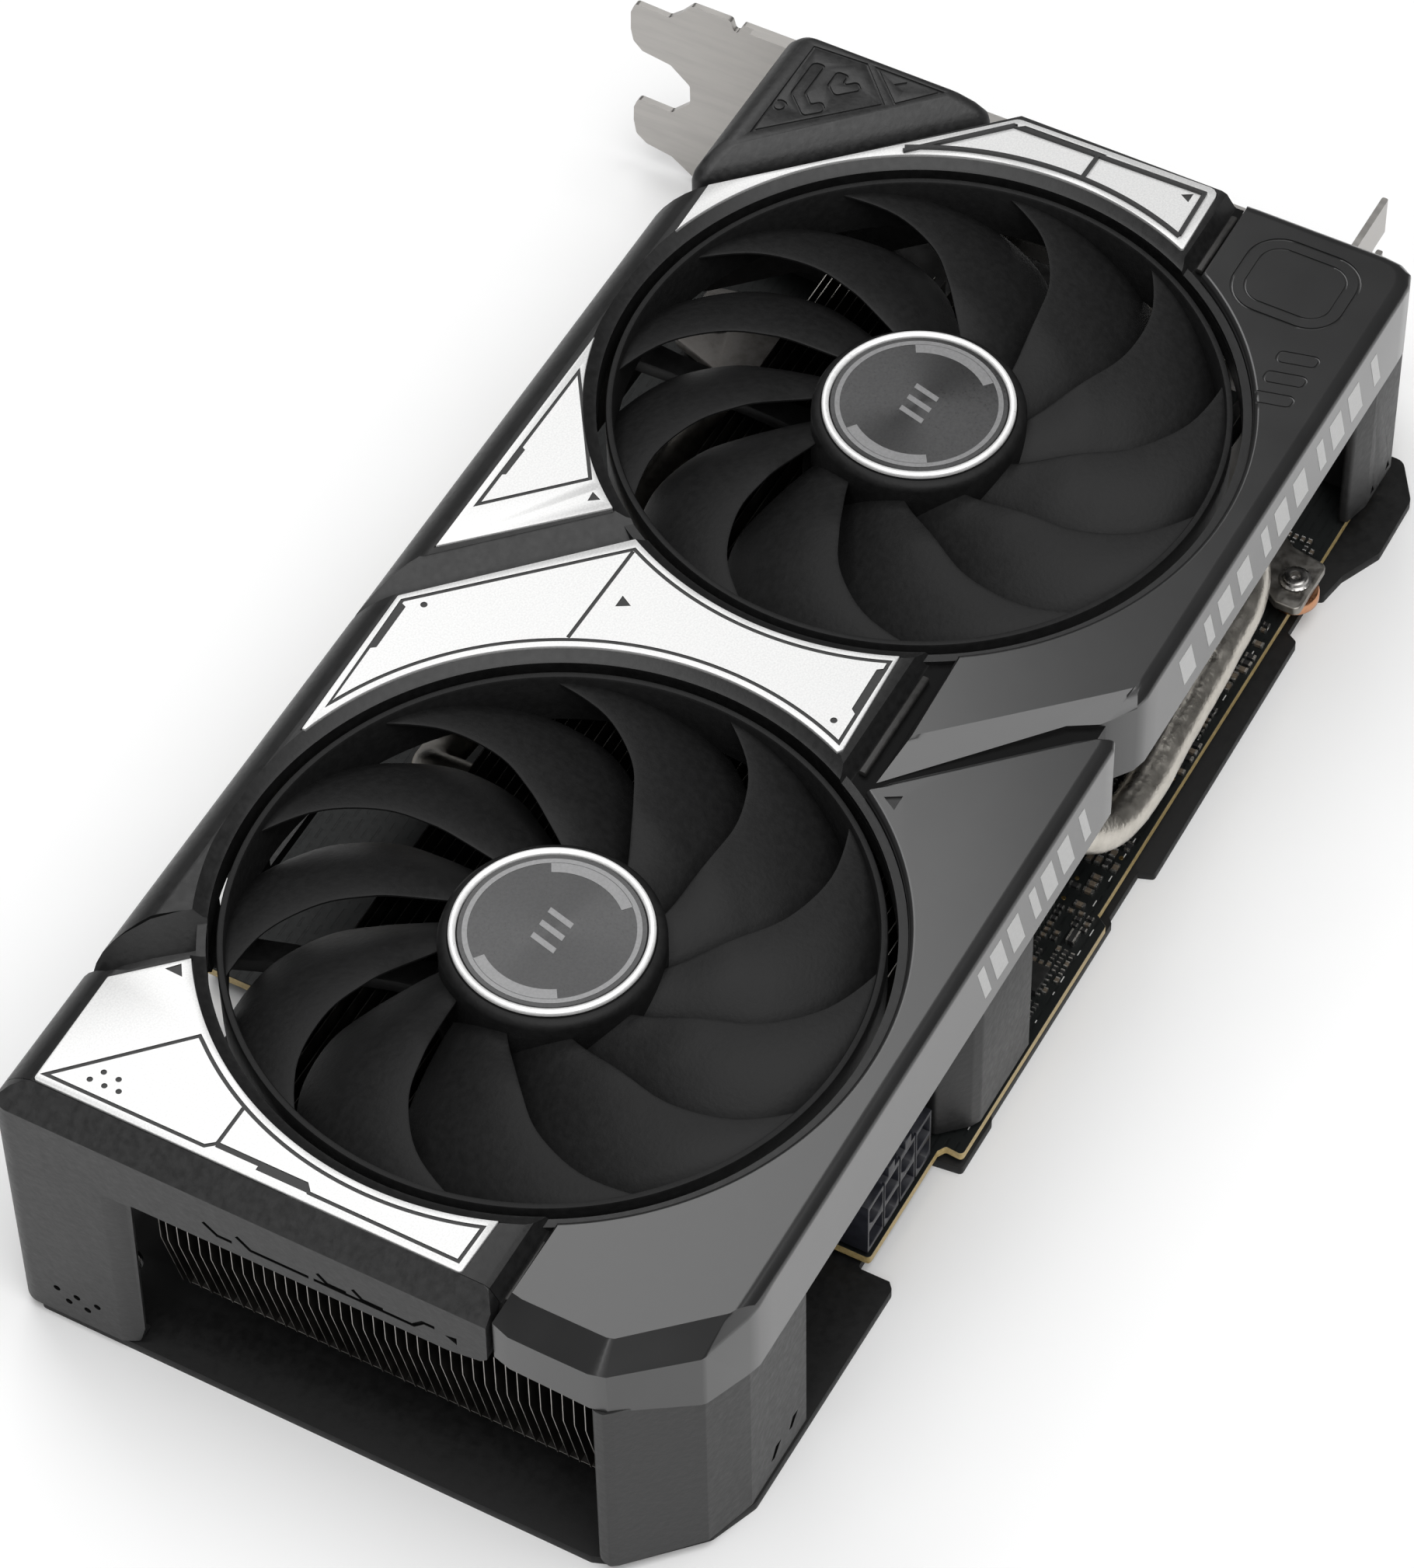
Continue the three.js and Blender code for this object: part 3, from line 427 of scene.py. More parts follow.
for cx_ in range(-38, 102, 7):
    for (ya, yb) in ((38.5, 48.9), (27.0, 38.0), (-30.0, 26.5)):
        k_ = rng.choice(["r", "rt"])
        a, b = rng.choice([(1.0, .55), (1.0, .55), (1.6, .8)])
        w_, d_ = (a, b) if k_ == "r" else (b, a)
        px_, py_ = w_ + .55, d_ + .55
        yy = ya + rng.uniform(0, .6)
        while yy < yb:
            xx = cx_ + rng.uniform(0, .4)
            while xx < cx_ + 6.2:
                if rng.random() < (.78 if ya > 38 else .30) and not (yy > 47.4 and xx < 38.5) and not (yy > 46.0 and xx > 82.5) and xx < 102.5:
                    place(xx, yy, w_, d_, .3 + .3 * b, k_, .12)
                xx += px_
            yy += py_
for _ in range(500):
    x, y = rng.uniform(-40, 102.5), rng.uniform(28, 48)
    if (y > 47.4 and x < 38.5) or (y > 46 and x > 82): continue
    k = rng.choice(["ic", "pad", "pad"])
    if k == "ic": place(x, y, rng.uniform(1.6, 3.0), rng.uniform(1.4, 2.2), .8, k, .5)
    else: place(x, y, .7, .7, 0, k, .3)
# printed reference ticks along the edge (plain dashes, no lettering)
for k in range(26):
    x = -20 + k * 4.3 + rng.uniform(-1, 1)
    if x > 82 or -34 < x < -21: continue
    y = 47.0 if x < 38 else 48.9
    g.box(x, x + rng.uniform(.5, 1.3), y, y + .16, 4.19, 4.215, 5)
o = g.obj("v_board_parts", [M_PCB, M_CHIP, M_CERA, M_SOLD, M_GOLD, M_SILK])
finish_mesh(o, .035, 1)
piece(o, "card", "board_black")

# ---------------------------------------------------------------- power connector
x0, x1, z0, z1, y0, y1 = 85.6, 104.0, 5.0, 15.4, 33.0, 46.6
g = Geo().box(x0, x1, y0, y1, z0, z1)
o = g.obj("v_power_connector", [M_CONN])
cut(o, Geo().box(91.5, 98.1, 35.0, 46.6, z1 - .5, 17.4), op="UNION")
c = Geo().box(93.3, 96.3, 36.4, 50, 15.7, 18)
for i in range(4):
    for j in range(2):
        cx, cz = x0 + 2.3 + i * 4.6, z0 + 2.75 + j * 4.9
        a = 1.85
        sh = [(cx - a, cz - a), (cx + a, cz - a), (cx + a, cz + a), (cx - a, cz + a)] if (i + j) % 2 else [(cx - a, cz - a + .9), (cx - a + .9, cz - a), (cx + a - .9, cz - a), (cx + a, cz - a + .9), (cx + a, cz + a), (cx - a, cz + a)]
        c.py(sh, y0 + 3, y1 + 1)
for i in range(3): c.box(x0 + 4.45 + i * 4.6, x0 + 4.75 + i * 4.6, y1 - .5, y1 + 1, z0 - 1, z1 + 3)
cut(o, c, [M_CONN])
finish_mesh(o, .14, 2)
piece(o, "card", "connector_black", "power_connector")
g = Geo()
for i in range(4):
    for j in range(2):
        cx, cz = x0 + 2.3 + i * 4.6, z0 + 2.75 + j * 4.9
        g.box(cx - .5, cx + .5, y0 + 2.5, y1 - 2.6, cz - .5, cz + .5)
g.box(x0 + 1, x1 - 1, y0 + 1, y0 + 3, 4.5, z0 + .2)
o = g.obj("v_power_pins", [M_GOLD]); finish_mesh(o, .12, 2)
piece(o, "card", "connector_black")

# ---------------------------------------------------------------- heatsink
NF, PITCH, FT, FY0 = 41, 1.645, .13, -28.95
g = Geo()
zt, zb = 32.6, 12.0
for k in range(-1, NF):
    y = FY0 + k * PITCH + (.55 if k < 0 else 0)
    tail = [(149.5, zb), (150.5, 10.4), (153.6, 10.4), (157.0, 25.0), (157.0, zt), (-36, zt)]
    prof = [(-36, 16.2), (57.4, 16.2), (57.4, zb)] + tail
    if y + FT > 31.2: prof = [(-36, 16.2), (57.4, 16.2), (57.4, zb), (83.4, zb), (83.4, 18.2), (106.2, 18.2), (106.2, zb)] + tail
    g.py(prof, y, y + FT)
    # folded spacing tabs along the slanted foot
    if 0 <= k < NF - 1:
        g.box(150.6, 153.4, y + FT, y + PITCH - .03, 10.4, 10.55)
o = g.obj("v_fin_stack", [M_FIN_PAINTED_SHADE, M_FIN]); finish_mesh(o)
# painted shade: the fin faces keep the dark copy (index 0), only the thin edges get the lighter fin metal
for p in o.data.polygons:
    if abs(p.normal.y) < .5: p.material_index = 1
piece(o, "card", "fins", "fin_stack")


def smooth_path(pts, n):
    P = [Vector(p) for p in pts]
    out = []
    for i in range(len(P) - 1):
        p0, p1, p2, p3 = P[max(i - 1, 0)], P[i], P[i + 1], P[min(i + 2, len(P) - 1)]
        m = max(2, int((p2 - p1).length / n))
        for k in range(m):
            t = k / m
            out.append(.5 * ((2 * p1) + (-p0 + p2) * t + (2 * p0 - 5 * p1 + 4 * p2 - p3) * t * t + (-p0 + 3 * p1 - 3 * p2 + p3) * t ** 3))
    out.append(P[-1])
    return out


pipeA = [(44, 4, 12.3), (18, 4, 12.3), (-8, 4, 12.3), (-22, 8, 12.3), (-30, 18, 12.3), (-30.6, 30, 12.4), (-26.4, 39.6, 12.8), (-18, 44.4, 13), (-6, 45.6, 13), (10, 46.3, 13), (22, 46.9, 13.2),
         (31, 46.2, 14.8), (36.8, 43.6, 18.8), (39.6, 40.2, 22.4), (40, 35, 23.5), (40, 20, 23.5), (40, -31, 23.5)]
pipeB = [(44, -14, 12.3), (18, -14, 12.3), (-6, -14, 12.3), (-17, -18, 12.3), (-21, -27, 12.6), (-18, -36, 13), (-9, -40.8, 13.4), (2, -41.4, 13.8), (30, -41.4, 14.6), (56, -41.4, 15.8),
         (66, -41, 18.4), (71, -38.8, 22.2), (72, -34, 23.5), (72, -20, 23.5), (72, 32, 23.5)]
for i, pp in enumerate((pipeA, pipeB)):
    # the second pipe uses the darker nickel copy as painted shade
    o = Geo().tube(smooth_path(pp, .8), 3.0, 28, wob=.006, seed=3 + i).obj("v_heat_pipe_%d" % (i + 1), [M_NICK_PAINTED_SHADE if i else M_NICK])
    finish_mesh(o, ang=60)
    piece(o, "card", "nickel", "heat_pipe_%d" % (i + 1))
# clamp arm
ARM = [(-39, -55, 1.5), (-27, -55, 1.5), (-24, -46, 1.5), (-24, 44.5, 1), (-22.2, 47, 1), (-22.2, 50.8, 1), (-32, 50.8, 1), (-33, 45, 1), (-37, 40, 2), (-40, 20, 2), (-40, -50, 2)]
o = Geo().prism(fil(ARM, 4), 6.8, 8.3).obj("v_clamp_arm", [M_CLAMP, M_CLAMP_PAINTED_SHADE])
c = Geo()
for x, y in [(-33, -50.5), (-27.3, 47.9)]: c.cyl(x, y, 1.7, 6, 10)
c.prism(fil([(-35, -38, 2), (-28, -38, 2), (-28, -8, 2), (-35, -8, 2)]), 6, 10).prism(fil([(-35, 6, 2), (-28, 6, 2), (-28, 36, 2), (-35, 36, 2)]), 6, 10)
cut(o, c, [M_CLAMP]); finish_mesh(o, .35, 3)
bm = bmesh.new(); bm.from_mesh(o.data)
bmesh.ops.bisect_plane(bm, geom=bm.verts[:] + bm.edges[:] + bm.faces[:], plane_co=W((0, 43.0, 0)), plane_no=(0, 1, 0))
bm.to_mesh(o.data); bm.free()
# painted shade: the arm behind y = 43 gets the darker copy of the nickel
for p in o.data.polygons:
    if p.center.y * 1000 - OY < 43.0: p.material_index = 1
piece(o, "card", "steel", "clamp_arm")
for i, (x, y) in enumerate([(-33, -50.5), (-27.3, 47.9)]):
    o = Geo().lathe([(.01, 4.5), (1.3, 4.5), (1.3, 8.4), (2.3, 8.4), (2.4, 8.6), (1.95, 8.75), (1.8, 9.2), (1.5, 9.35), (.8, 9.35), (.7, 8.4), (.01, 8.4)], x, y, 40).obj("v_clamp_screw_%d" % (i + 1), [M_SCREW])
    c = Geo()
    for q in range(18):      # serrated locking flange
        a = q * math.pi / 9
        c.cyl(x + 2.5 * math.cos(a), y + 2.5 * math.sin(a), .2, 8, 9, 8)
    cut(o, c, [M_SCREW]); finish_mesh(o, .05, 2)
    piece(o, "card", "screw_steel", "clamp_screw_%d" % (i + 1))
    o = Geo().lathe([(1.6, 4.5), (3.5, 4.5), (3.7, 4.8), (3.7, 6.1), (3.5, 6.4), (1.6, 6.4)], x, y, 40).obj("v_clamp_washer_%d" % (i + 1), [M_COPPER]); finish_mesh(o, ang=50)
    piece(o, "card", "copper", "clamp_washer_%d" % (i + 1))

# ---------------------------------------------------------------- I/O bracket
yT, yS, yB, yF, XBR = -81.8, -74.8, -71.6, 38.3, -64.3
OUT = [(yF, .6), (-70.4, .6), (-72.3, 2.1), (-75.2, 4.3, .8), (-79.6, 5.1, .6), (-81.4, 6.6, 1.0), (-81.8, 9.4), (-81.7, 12.2), (-80.9, 14.3, .9), (-75.0, 14.1, .6), (-71.7, 17.5, .8),
       (-71.7, 21.3, .8), (-75.0, 24.3, .6), (-79.9, 25.1, .6), (-81.4, 26.7, 1.0), (-81.8, 29.0), (-81.7, 32.6), (-80.9, 34.7, .9), (-75.0, 34.4, .6), (-73.0, 36.2, .4), (-71.0, 38.6, .8),
       (-64.4, 38.6, .6), (-63.9, 36.7, .4), (-63.2, 36.7, .4), (-62.3, 38.6, .5), (yF, 38.6)]
g = Geo().px(fil(OUT, 4), XBR, XBR + 1.0)
o = g.obj("v_io_bracket", [M_STEEL])
fl = Geo().prism(fil([(XBR - 11.4, yF - 1.0, .3), (XBR + 1.0, yF - 1.0), (XBR + 1.0, yF, .9), (XBR - 11.4, yF, .3)], 3), .6, 38.6)
cut(o, fl, [M_STEEL], "UNION")
cut(o, Geo().box(XBR, XBR + 2.2, -60.5, 16, 37.7, 38.6), [M_STEEL], "UNION")
c = Geo()
for z in (7.2, 27.5):
    c.py(fil([(XBR - 20, z), (XBR - 5.6, z, 2.1), (XBR - 5.6, z + 4.4, 2.1), (XBR - 20, z + 4.4)]), yF - 5, yF + 5)
for y, w in [(-49, 17), (-28.5, 17), (-8, 17), (12.5, 16)]:
    c.px(fil([(y - w / 2, 6.0, .6), (y + w / 2, 6.0, .6), (y + w / 2, 12.2, .6), (y - w / 2, 12.2, .6)]), XBR - 1, XBR + 2)
for i in range(9):
    for z in (20.5, 27.5):
        a = -56 + i * 9.2
        c.px(fil([(a, z, 1.4), (a + 6.4, z, 1.4), (a + 6.4, z + 3.1, 1.4), (a, z + 3.1, 1.4)]), XBR - 1, XBR + 2)
cut(o, c, [M_STEEL])
finish_mesh(o, .14, 2)
piece(o, "card", "steel", "io_bracket")
for i, (y, dp) in enumerate([(-49, 1), (-28.5, 1), (-8, 1), (12.5, 0)]):
    w = 16.2 if dp else 15.2
    mS = M_SOCK if dp else M_SOCKM
    zc = 9.1
    outer = [(y - w / 2, 6.3, .5), (y + w / 2, 6.3, .5), (y + w / 2, 11.9, .5), (y - w / 2, 11.9, .5)]
    inner = [(y - w / 2 + .6, 7.0, .4), (y + w / 2 - .6, 7.0, .4), (y + w / 2 - .6, 11.3, .4), (y - w / 2 + (2.4 if dp else .6), 11.3, .4)] + ([(y - w / 2 + .6, 9.6, .4)] if dp else [])
    o = Geo().px(fil(outer), XBR - .2, -49.5).obj(("v_display_socket_%d" % (i + 1)) if dp else "v_hdmi_socket", [mS, M_GOLD])
    cut(o, Geo().box(-60, -50, y - w / 2 + 1, y + w / 2 - 1, 4.5, 6.6), [mS], "UNION")
    cut(o, Geo().px(fil(inner), XBR - 2, -56), [mS])
    cut(o, Geo().box(-64.0, -55.5, y - w / 2 + 2.2, y + w / 2 - 2.2, 8.4, 10.0), [mS], "UNION")
    finish_mesh(o, .1, 2)
    piece(o, "card", "socket_black" if dp else "socket_metal", "display_socket_%d" % (i + 1) if dp else "hdmi_socket")

# ---------------------------------------------------------------- fans
SWEEP = [(13.0, 99), (15.2, 104.5), (20, 112.8), (25, 118.4), (30, 122.8), (34, 127.6), (38, 133.2), (41, 138.9), (43.8, 144.6)]


def sweep(r):
    for i in range(1, len(SWEEP)):
        if r <= SWEEP[i][0]:
            a, b = SWEEP[i - 1], SWEEP[i]
            t = (r - a[0]) / (b[0] - a[0])
            p0 = SWEEP[max(i - 2, 0)]; p3 = SWEEP[min(i + 1, len(SWEEP) - 1)]
            m1 = (b[1] - p0[1]) / (b[0] - p0[0]) * (b[0] - a[0]) if i > 1 else b[1] - a[1]
            m2 = (p3[1] - a[1]) / (p3[0] - a[0]) * (b[0] - a[0]) if i < len(SWEEP) - 1 else b[1] - a[1]
            t2, t3 = t * t, t ** 3
            return (2 * t3 - 3 * t2 + 1) * a[1] + (t3 - 2 * t2 + t) * m1 + (-2 * t3 + 3 * t2) * b[1] + (t3 - t2) * m2
    return SWEEP[-1][1]


def blade(g, cx, tip):
    NR, NC = 26, 18
    top, bot = [], []
    for i in range(NR + 1):
        u = i / NR
        r = 14.2 + u * (43.45 - 14.2)
        k = min(1, max(0, (r - 14) / 11)); k = k * k * (3 - 2 * k)
        chord = 33 + 5 * (1 - u)
        zl, zt = 44.8 + 2.2 * k, 38.6 - .4 * u
        ta, ba = [], []
        for j in range(NC + 1):
            v = .5 - .5 * math.cos(math.pi * j / NC) if j else 0
            th = math.radians(tip + sweep(r) - 144.6 - v * chord)
            z = zl + (zt - zl) * (.25 * v + .75 * v * v)
            th_ = .12 + .55 * math.sin(math.pi * min(1, v * 1.0)) ** .5 if 0 < v < 1 else .12
            x, y = cx + r * math.cos(th), r * math.sin(th)
            ta.append((x, y, z + th_ / 2 + .1)); ba.append((x, y, z - th_ / 2 - .1))
        top.append(ta); bot.append(ba)
    b = len(g.v)
    n = NC + 1
    for row in top: g.v += row
    o2 = len(g.v)
    for row in bot: g.v += row
    A = lambda i, j: b + i * n + j
    B = lambda i, j: o2 + i * n + j
    for i in range(NR):
        for j in range(NC):
            g.f.append((A(i, j), A(i + 1, j), A(i + 1, j + 1), A(i, j + 1))); g.m.append(0)
            g.f.append((B(i, j), B(i, j + 1), B(i + 1, j + 1), B(i + 1, j))); g.m.append(0)
        g.f.append((A(i, 0), B(i, 0), B(i + 1, 0), A(i + 1, 0))); g.m.append(0)
        g.f.append((A(i, NC), A(i + 1, NC), B(i + 1, NC), B(i, NC))); g.m.append(0)
    for j in range(NC):
        g.f.append((A(0, j), A(0, j + 1), B(0, j + 1), B(0, j))); g.m.append(0)
        g.f.append((A(NR, j), B(NR, j), B(NR, j + 1), A(NR, j + 1))); g.m.append(0)


TIP = (144.6 - 19.0, 144.6)
for i, s in enumerate("ab"):
    cx, body = FX[i], "fan_" + s
    g = Geo()
    g.lathe([(2.2, 46.4), (13.6, 46.4), (13.8, 46.2), (13.8, 36.5), (15.0, 36.5), (15.2, 36.8), (15.2, 46.9), (15.05, 47.5), (14.5, 47.95), (13.9, 48.05), (13.75, 47.9), (2.2, 47.9)], cx, 0, 160)
    g.lathe([(42.9, 39.6), (43.1, 39.4), (43.8, 39.4), (44.0, 39.6), (44.0, 48.1), (43.85, 48.42), (43.5, 48.5), (43.1, 48.42), (42.9, 48.1)], cx, 0, 240)
    for k in range(11): blade(g, cx, TIP[i] - k * 360 / 11)
    o = g.obj("v_rotor_" + s, [M_BLADE]); finish_mesh(o, ang=40)
    piece(o, body, "blade_plastic", "rotor_" + s)
    o = Geo().lathe([(12.68, 48.2), (13.68, 48.2), (13.7, 48.62), (13.58, 48.84), (13.3, 48.9), (12.95, 48.86), (12.72, 48.72), (12.68, 48.6)], cx, 0, 200).obj("v_hub_trim_ring_" + s, [M_TRIM]); finish_mesh(o, ang=60)
    piece(o, body, "trim_silver", "hub_trim_ring_" + s)
    # disc: own origin on the axis so the spun finish is centred
    g = Geo().lathe([(.01, 48.2), (12.6, 48.2), (12.6, 48.45), (12.45, 48.6), (.01, 48.6)], 0, 0, 160)
    z0, z1 = 48.58, 48.64
    ringp = lambda r0, r1, a0, a1, n: [[(r * math.cos(math.radians(a)), r * math.sin(math.radians(a)), z) for r, z in ((r0, z0), (r1, z0), (r1, z1), (r0, z1))] for a in [a0 + (a1 - a0) * q / n for q in range(n + 1)]]
    g.loft(ringp(11.15, 11.85, 0, 360 * 119 / 120, 119), 1, closed=True)
    for a0, a1 in ((138, 210), (-38, 33)): g.loft(ringp(9.6, 11.2, a0, a1, 30), 1)
    # plain generic mark in the middle: three short bars
    for q in (-1, 0, 1):
        g.prism([(q * 2.3 - .45 - .5, -2.0), (q * 2.3 + .45 - .5, -2.0), (q * 2.3 + .45 + .5, 2.0), (q * 2.3 - .45 + .5, 2.0)], z0, z1, 1)
    me = g.obj("v_hub_disc_" + s, [M_DISC, M_DISCL])
    me.data.transform(Matrix.Translation((-OX / 1000, -OY / 1000, 0)))
    me.location = ((cx + OX) / 1000, OY / 1000, 0)
    finish_mesh(me)
    piece(me, body, "disc_grey", "hub_disc_" + s)
    # fixed mount
    g = Geo().lathe([(1.95, 34.9), (1.95, 45.2), (3.2, 45.4), (12.2, 45.4), (12.4, 45.1), (12.4, 35.3), (16.2, 35.2), (16.4, 34.9), (16.4, 33.5), (16.1, 33.2), (.01, 33.2), (.01, 34.9)], cx, 0, 96)
    for a in (28, 148, 268):
        t = math.radians(a + i * 20)
        rot = lambda p: (cx + p[0] * math.cos(t) - p[1] * math.sin(t), p[0] * math.sin(t) + p[1] * math.cos(t), p[2])
        g.loft([[rot(p) for p in ((xx, -w, 33.2), (xx, w, 33.2), (xx, w * .8, zz), (xx, -w * .8, zz))] for xx, w, zz in ((14.6, 3.2, 35.1), (22, 2.3, 34.9), (40, 2.3, 35.1), (47.9, 2.9, 35.1))])
        g.loft([[rot(p) for p in ((46.1, -3.5, zz), (48.3, -3.5, zz), (48.3, 3.5, zz), (46.1, 3.5, zz))] for zz in (33.2, 43.4)])
    o = g.obj("v_fan_mount_" + s, [M_SHROUD]); finish_mesh(o, .15, 2)
    piece(o, "card", "shroud_matte", "fan_mount_" + s)

# ---------------------------------------------------------------- shroud frame
YL = -51.9
prof = [(YL, 20), (YL, 43.2), (-51.75, 44.8), (-51.3, 46.2), (-50.5, 47.4), (-49.4, 48.5), (-48.2, 49.25), (-47.0, 49.7), (-46.4, 49.8), (20.2, 49.8), (21.0, 49.5), (22.3, 47.6), (22.6, 47.4), (48.4, 47.4), (48.4, 44.6),
        (-46, 44.6), (-49.0, 43.0), (-50.3, 40.5), (-50.3, 20)]
o = Geo().px(prof, -55.9, 157.6).obj("v_shroud_frame", [M_SHROUD, M_PAINTED_SHADE])
c = Geo()
c.prism([(-80, -80), (12.0, -80), (-55.9, -12.1), (-80, -12.1)], 15, 60)
for x in FX: c.cyl(x, 0, 45.3, 10, 60, 180)
c.prism([(158.2, 33.5), (170, 33.5), (170, 60), (143.5, 60), (143.5, 48.2)], 40, 60)
cut(o, c, [M_SHROUD], self_int=True)
# sloped rims round the bores
c = Geo()
for x in FX: c.lathe([(44, 48.7), (45.3, 48.7), (45.9, 48.9), (47.35, 49.83), (47.6, 50.6), (44, 50.6)], x, 0, 180)
cut(o, c, [M_SHROUD])
# groove between left and middle sections; groove beside the end section
c = Geo()


def channel(p0, p1, s0, s1, depth, wall):
    """A groove along p0-p1 with a slope from s0 down to s1 and a steep wall after it (distances to the left of the line)."""
    a, b = Vector(p0), Vector(p1)
    d = (b - a).normalized(); n = Vector((-d.y, d.x))
    r = []
    for q in (a, b):
        f = lambda s, z: ((q + n * s).x, (q + n * s).y, z)
        r.append([f(s0, 49.81), f(s0 + .3, 49.6), f(s1 - .6, 49.8 - depth), f(s1, 49.8 - depth - .1), f(s1 + wall, 49.6), f(s1 + wall + .15, 60), f(s0, 60)])
    c.loft(r)


channel((80, -80 + 10.9), (28.0, -28.0 + 10.9), 0.0, -5.0, 4.6, -.5)
cut(o, c, [M_SHROUD])
c = Geo()
GR = [((122.9, -41.0, 49.86), (124.6, -39.7, 47.4), (125.6, -38.9, 45.7), (129.6, -37.9)),
      ((124.9, -43.6, 49.86), (126.8, -42.2, 47.3), (128.0, -41.4, 45.6), (133.4, -41.7)),
      ((127.9, -47.3, 49.0), (129.7, -45.9, 47.0), (131.0, -45.2, 45.4), (136.8, -45.1)),
      ((130.9, -49.4, 48.2), (132.5, -48.5, 46.3), (133.6, -48.2, 45.0), (138.1, -47.8)),
      ((133.3, -51.1, 46.9), (134.8, -51.0, 45.0), (135.7, -50.9, 43.6), (138.2, -51.0)),
      ((134.1, -54.5, 45.6), (135.4, -54.5, 43.6), (136.2, -54.5, 42.0), (138.3, -54.5))]
c.loft([[a, b, d, (e[0], e[1], d[2]), (e[0] + .1, e[1] + .1, 60), (a[0], a[1], 60)] for a, b, d, e in GR])
cut(o, c, [M_SHROUD])
# vents through the slot-side wall
c = Geo()
for x0, x1 in ((10, 48), (68, 96), (104, 128)):
    c.px([(-60, 22), (-40, 22), (-40, 34), (-60, 34)], x0, x1)
cut(o, c, [M_SHROUD])
# pockets for the accent panels
E_OUT = [(157.5, 16.8, .5), (157.4, -46.6, .5), (139.1, -46.8, .5)] + arc(XB, 0, 47.15, -55.3, 21.3, 60)
M_OUT = [(91.7, -45.8), (65.5, -46.2, .5)] + arc(0, 0, 47.15, -28.4, 24.1, 48) + [(60.9, 20.0, .5)] + arc(XB, 0, 47.15, 155.6, 254.0, 80)
L_OUT = [(55.4, -46.1)] + arc(0, 0, 47.15, -36.4, -76.3, 40)
T_OUT = [(-12.1, -45.5), (-22.3, -45.7), (-55.0, -12.1, 1.6), (-55.6, 19.9, 1.4), (-42.8, 20.3, .3)] + arc(0, 0, 47.15, 154.9, 255.0, 80)
EXH = [(157.4, -46.6)]


def grow(pts, d):
    P = [Vector(p) for p in pts]
    if sum(P[i - 1].x * P[i].y - P[i].x * P[i - 1].y for i in range(len(P))) < 0: d = -d
    out = []
    for i in range(len(P)):
        a, b, c_ = P[i - 1], P[i], P[(i + 1) % len(P)]
        d1, d2 = (b - a).normalized(), (c_ - b).normalized()
        n1, n2 = Vector((d1.y, -d1.x)), Vector((d2.y, -d2.x))
        m = (n1 + n2)
        m = m.normalized() if m.length > .1 else n1
        out.append((b.x + m.x * d / max(.5, m.dot(n1)), b.y + m.y * d / max(.5, m.dot(n1))))
    return out


c = Geo()
for P in (E_OUT, M_OUT, L_OUT, T_OUT):
    c.prism(grow(fil(P, 3), .14), 49.28, 60)
cut(o, c, [M_SHROUD], self_int=False)
finish_mesh(o, .16, 2, ang=32)
weighted(o)
for p in o.data.polygons:      # floor of the recess under the covers and rails gets the near-black material as painted shade
    if p.normal.z > .8 and p.center.z < .0476 and p.center.y * 1000 - OY > 22.6: p.material_index = 1
piece(o, "card", "shroud_matte", "shroud_frame")
# wall of the bores
g = Geo()
for x in FX: g.lathe([(45.35, 43.9), (46.6, 43.9), (46.6, 48.2), (45.35, 48.2)], x, 0, 160)
o = g.obj("v_bore_walls", [M_SHROUD]); finish_mesh(o)
cut(o, Geo().box(-80, 200, 48.5, 70, 30, 60).prism([(-80, -80), (9.0, -80), (-58.4, -12.6), (-80, -12.6)], 30, 60), [M_SHROUD]); finish_mesh(o)
piece(o, "card", "shroud_matte")

# ---------------------------------------------------------------- accent panels
def panel(name, outline, lines, bars, dots, tris, node):
    o = Geo().prism(fil(outline, 3), 49.3, TOP).obj(name, [M_PANEL, M_LINE])
    finish_mesh(o, .10, 2)
    z0, z1 = TOP - .12, TOP + .5
    for path, closed in lines:
        cut(o, Geo().ribbon(path, .56, z0, z1, closed, 0), [M_LINE], self_int=False)
    c = Geo()
    for b_ in bars: c.prism(b_, z0, z1)
    for x, y, r in dots: c.cyl(x, y, r, z0, z1, 24)
    for t in tris: c.prism(t, z0, z1)
    if c.v: cut(o, c, [M_LINE], self_int=True)
    finish_mesh(o, ang=25)
    piece(o, "card", "accent_silver", node)
    return o


def tri(x, y, s, rot):
    return [(x + s * math.cos(math.radians(rot + k * 120)), y + s * math.sin(math.radians(rot + k * 120))) for k in range(3)]


panel("v_accent_panel_end", E_OUT,
      [([(156.1, -45.6), (141.6, -31.2)] + arc(XB, 0, 48.35, -40.1, 19.2, 40)[1:] + [(156.2, 15.7), (156.1, -6.2), (155.0, -7.2), (155.0, -20.4), (156.1, -21.7)], True),
       ([(148.4, -20.3), (154.9, -20.4)], False)],
      [[(154.9, -7.2), (156.2, -6.0), (156.2, -14.0), (155.6, -14.0), (155.6, -20.4), (154.9, -20.4)]],
      [(154.1, -40.1, .42), (152.3, -39.1, .42), (154.1, -37.9, .42), (152.4, -36.8, .42), (154.0, -35.8, .42)],
      [[(134.5, -40.9), (132.8, -39.4), (134.6, -38.2)]], "accent_panel_end")
a8 = arc(0, 0, 48.3, -26.6, 22.6, 34)
panel("v_accent_panel_middle", M_OUT,
      [([(66.0, -45.2)] + a8 + [(60.2, 19.0)] + arc(XB, 0, 48.3, 156.9, 247.9, 60)[1:], True), ([(43.6, -21.6), (61.2, -22.0)], False)],
      [[(66.2, -45.5), (75.5, -45.0), (74.8, -44.1), (66.8, -44.2)], [(45.6, 18.9), (46.6, 17.6), (54.2, 17.8), (55.2, 19.1)]],
      [(65.3, -42.2, .5), (57.1, 16.6, .5)], [tri(52.3, -18.4, 1.25, 90)], "accent_panel_middle")
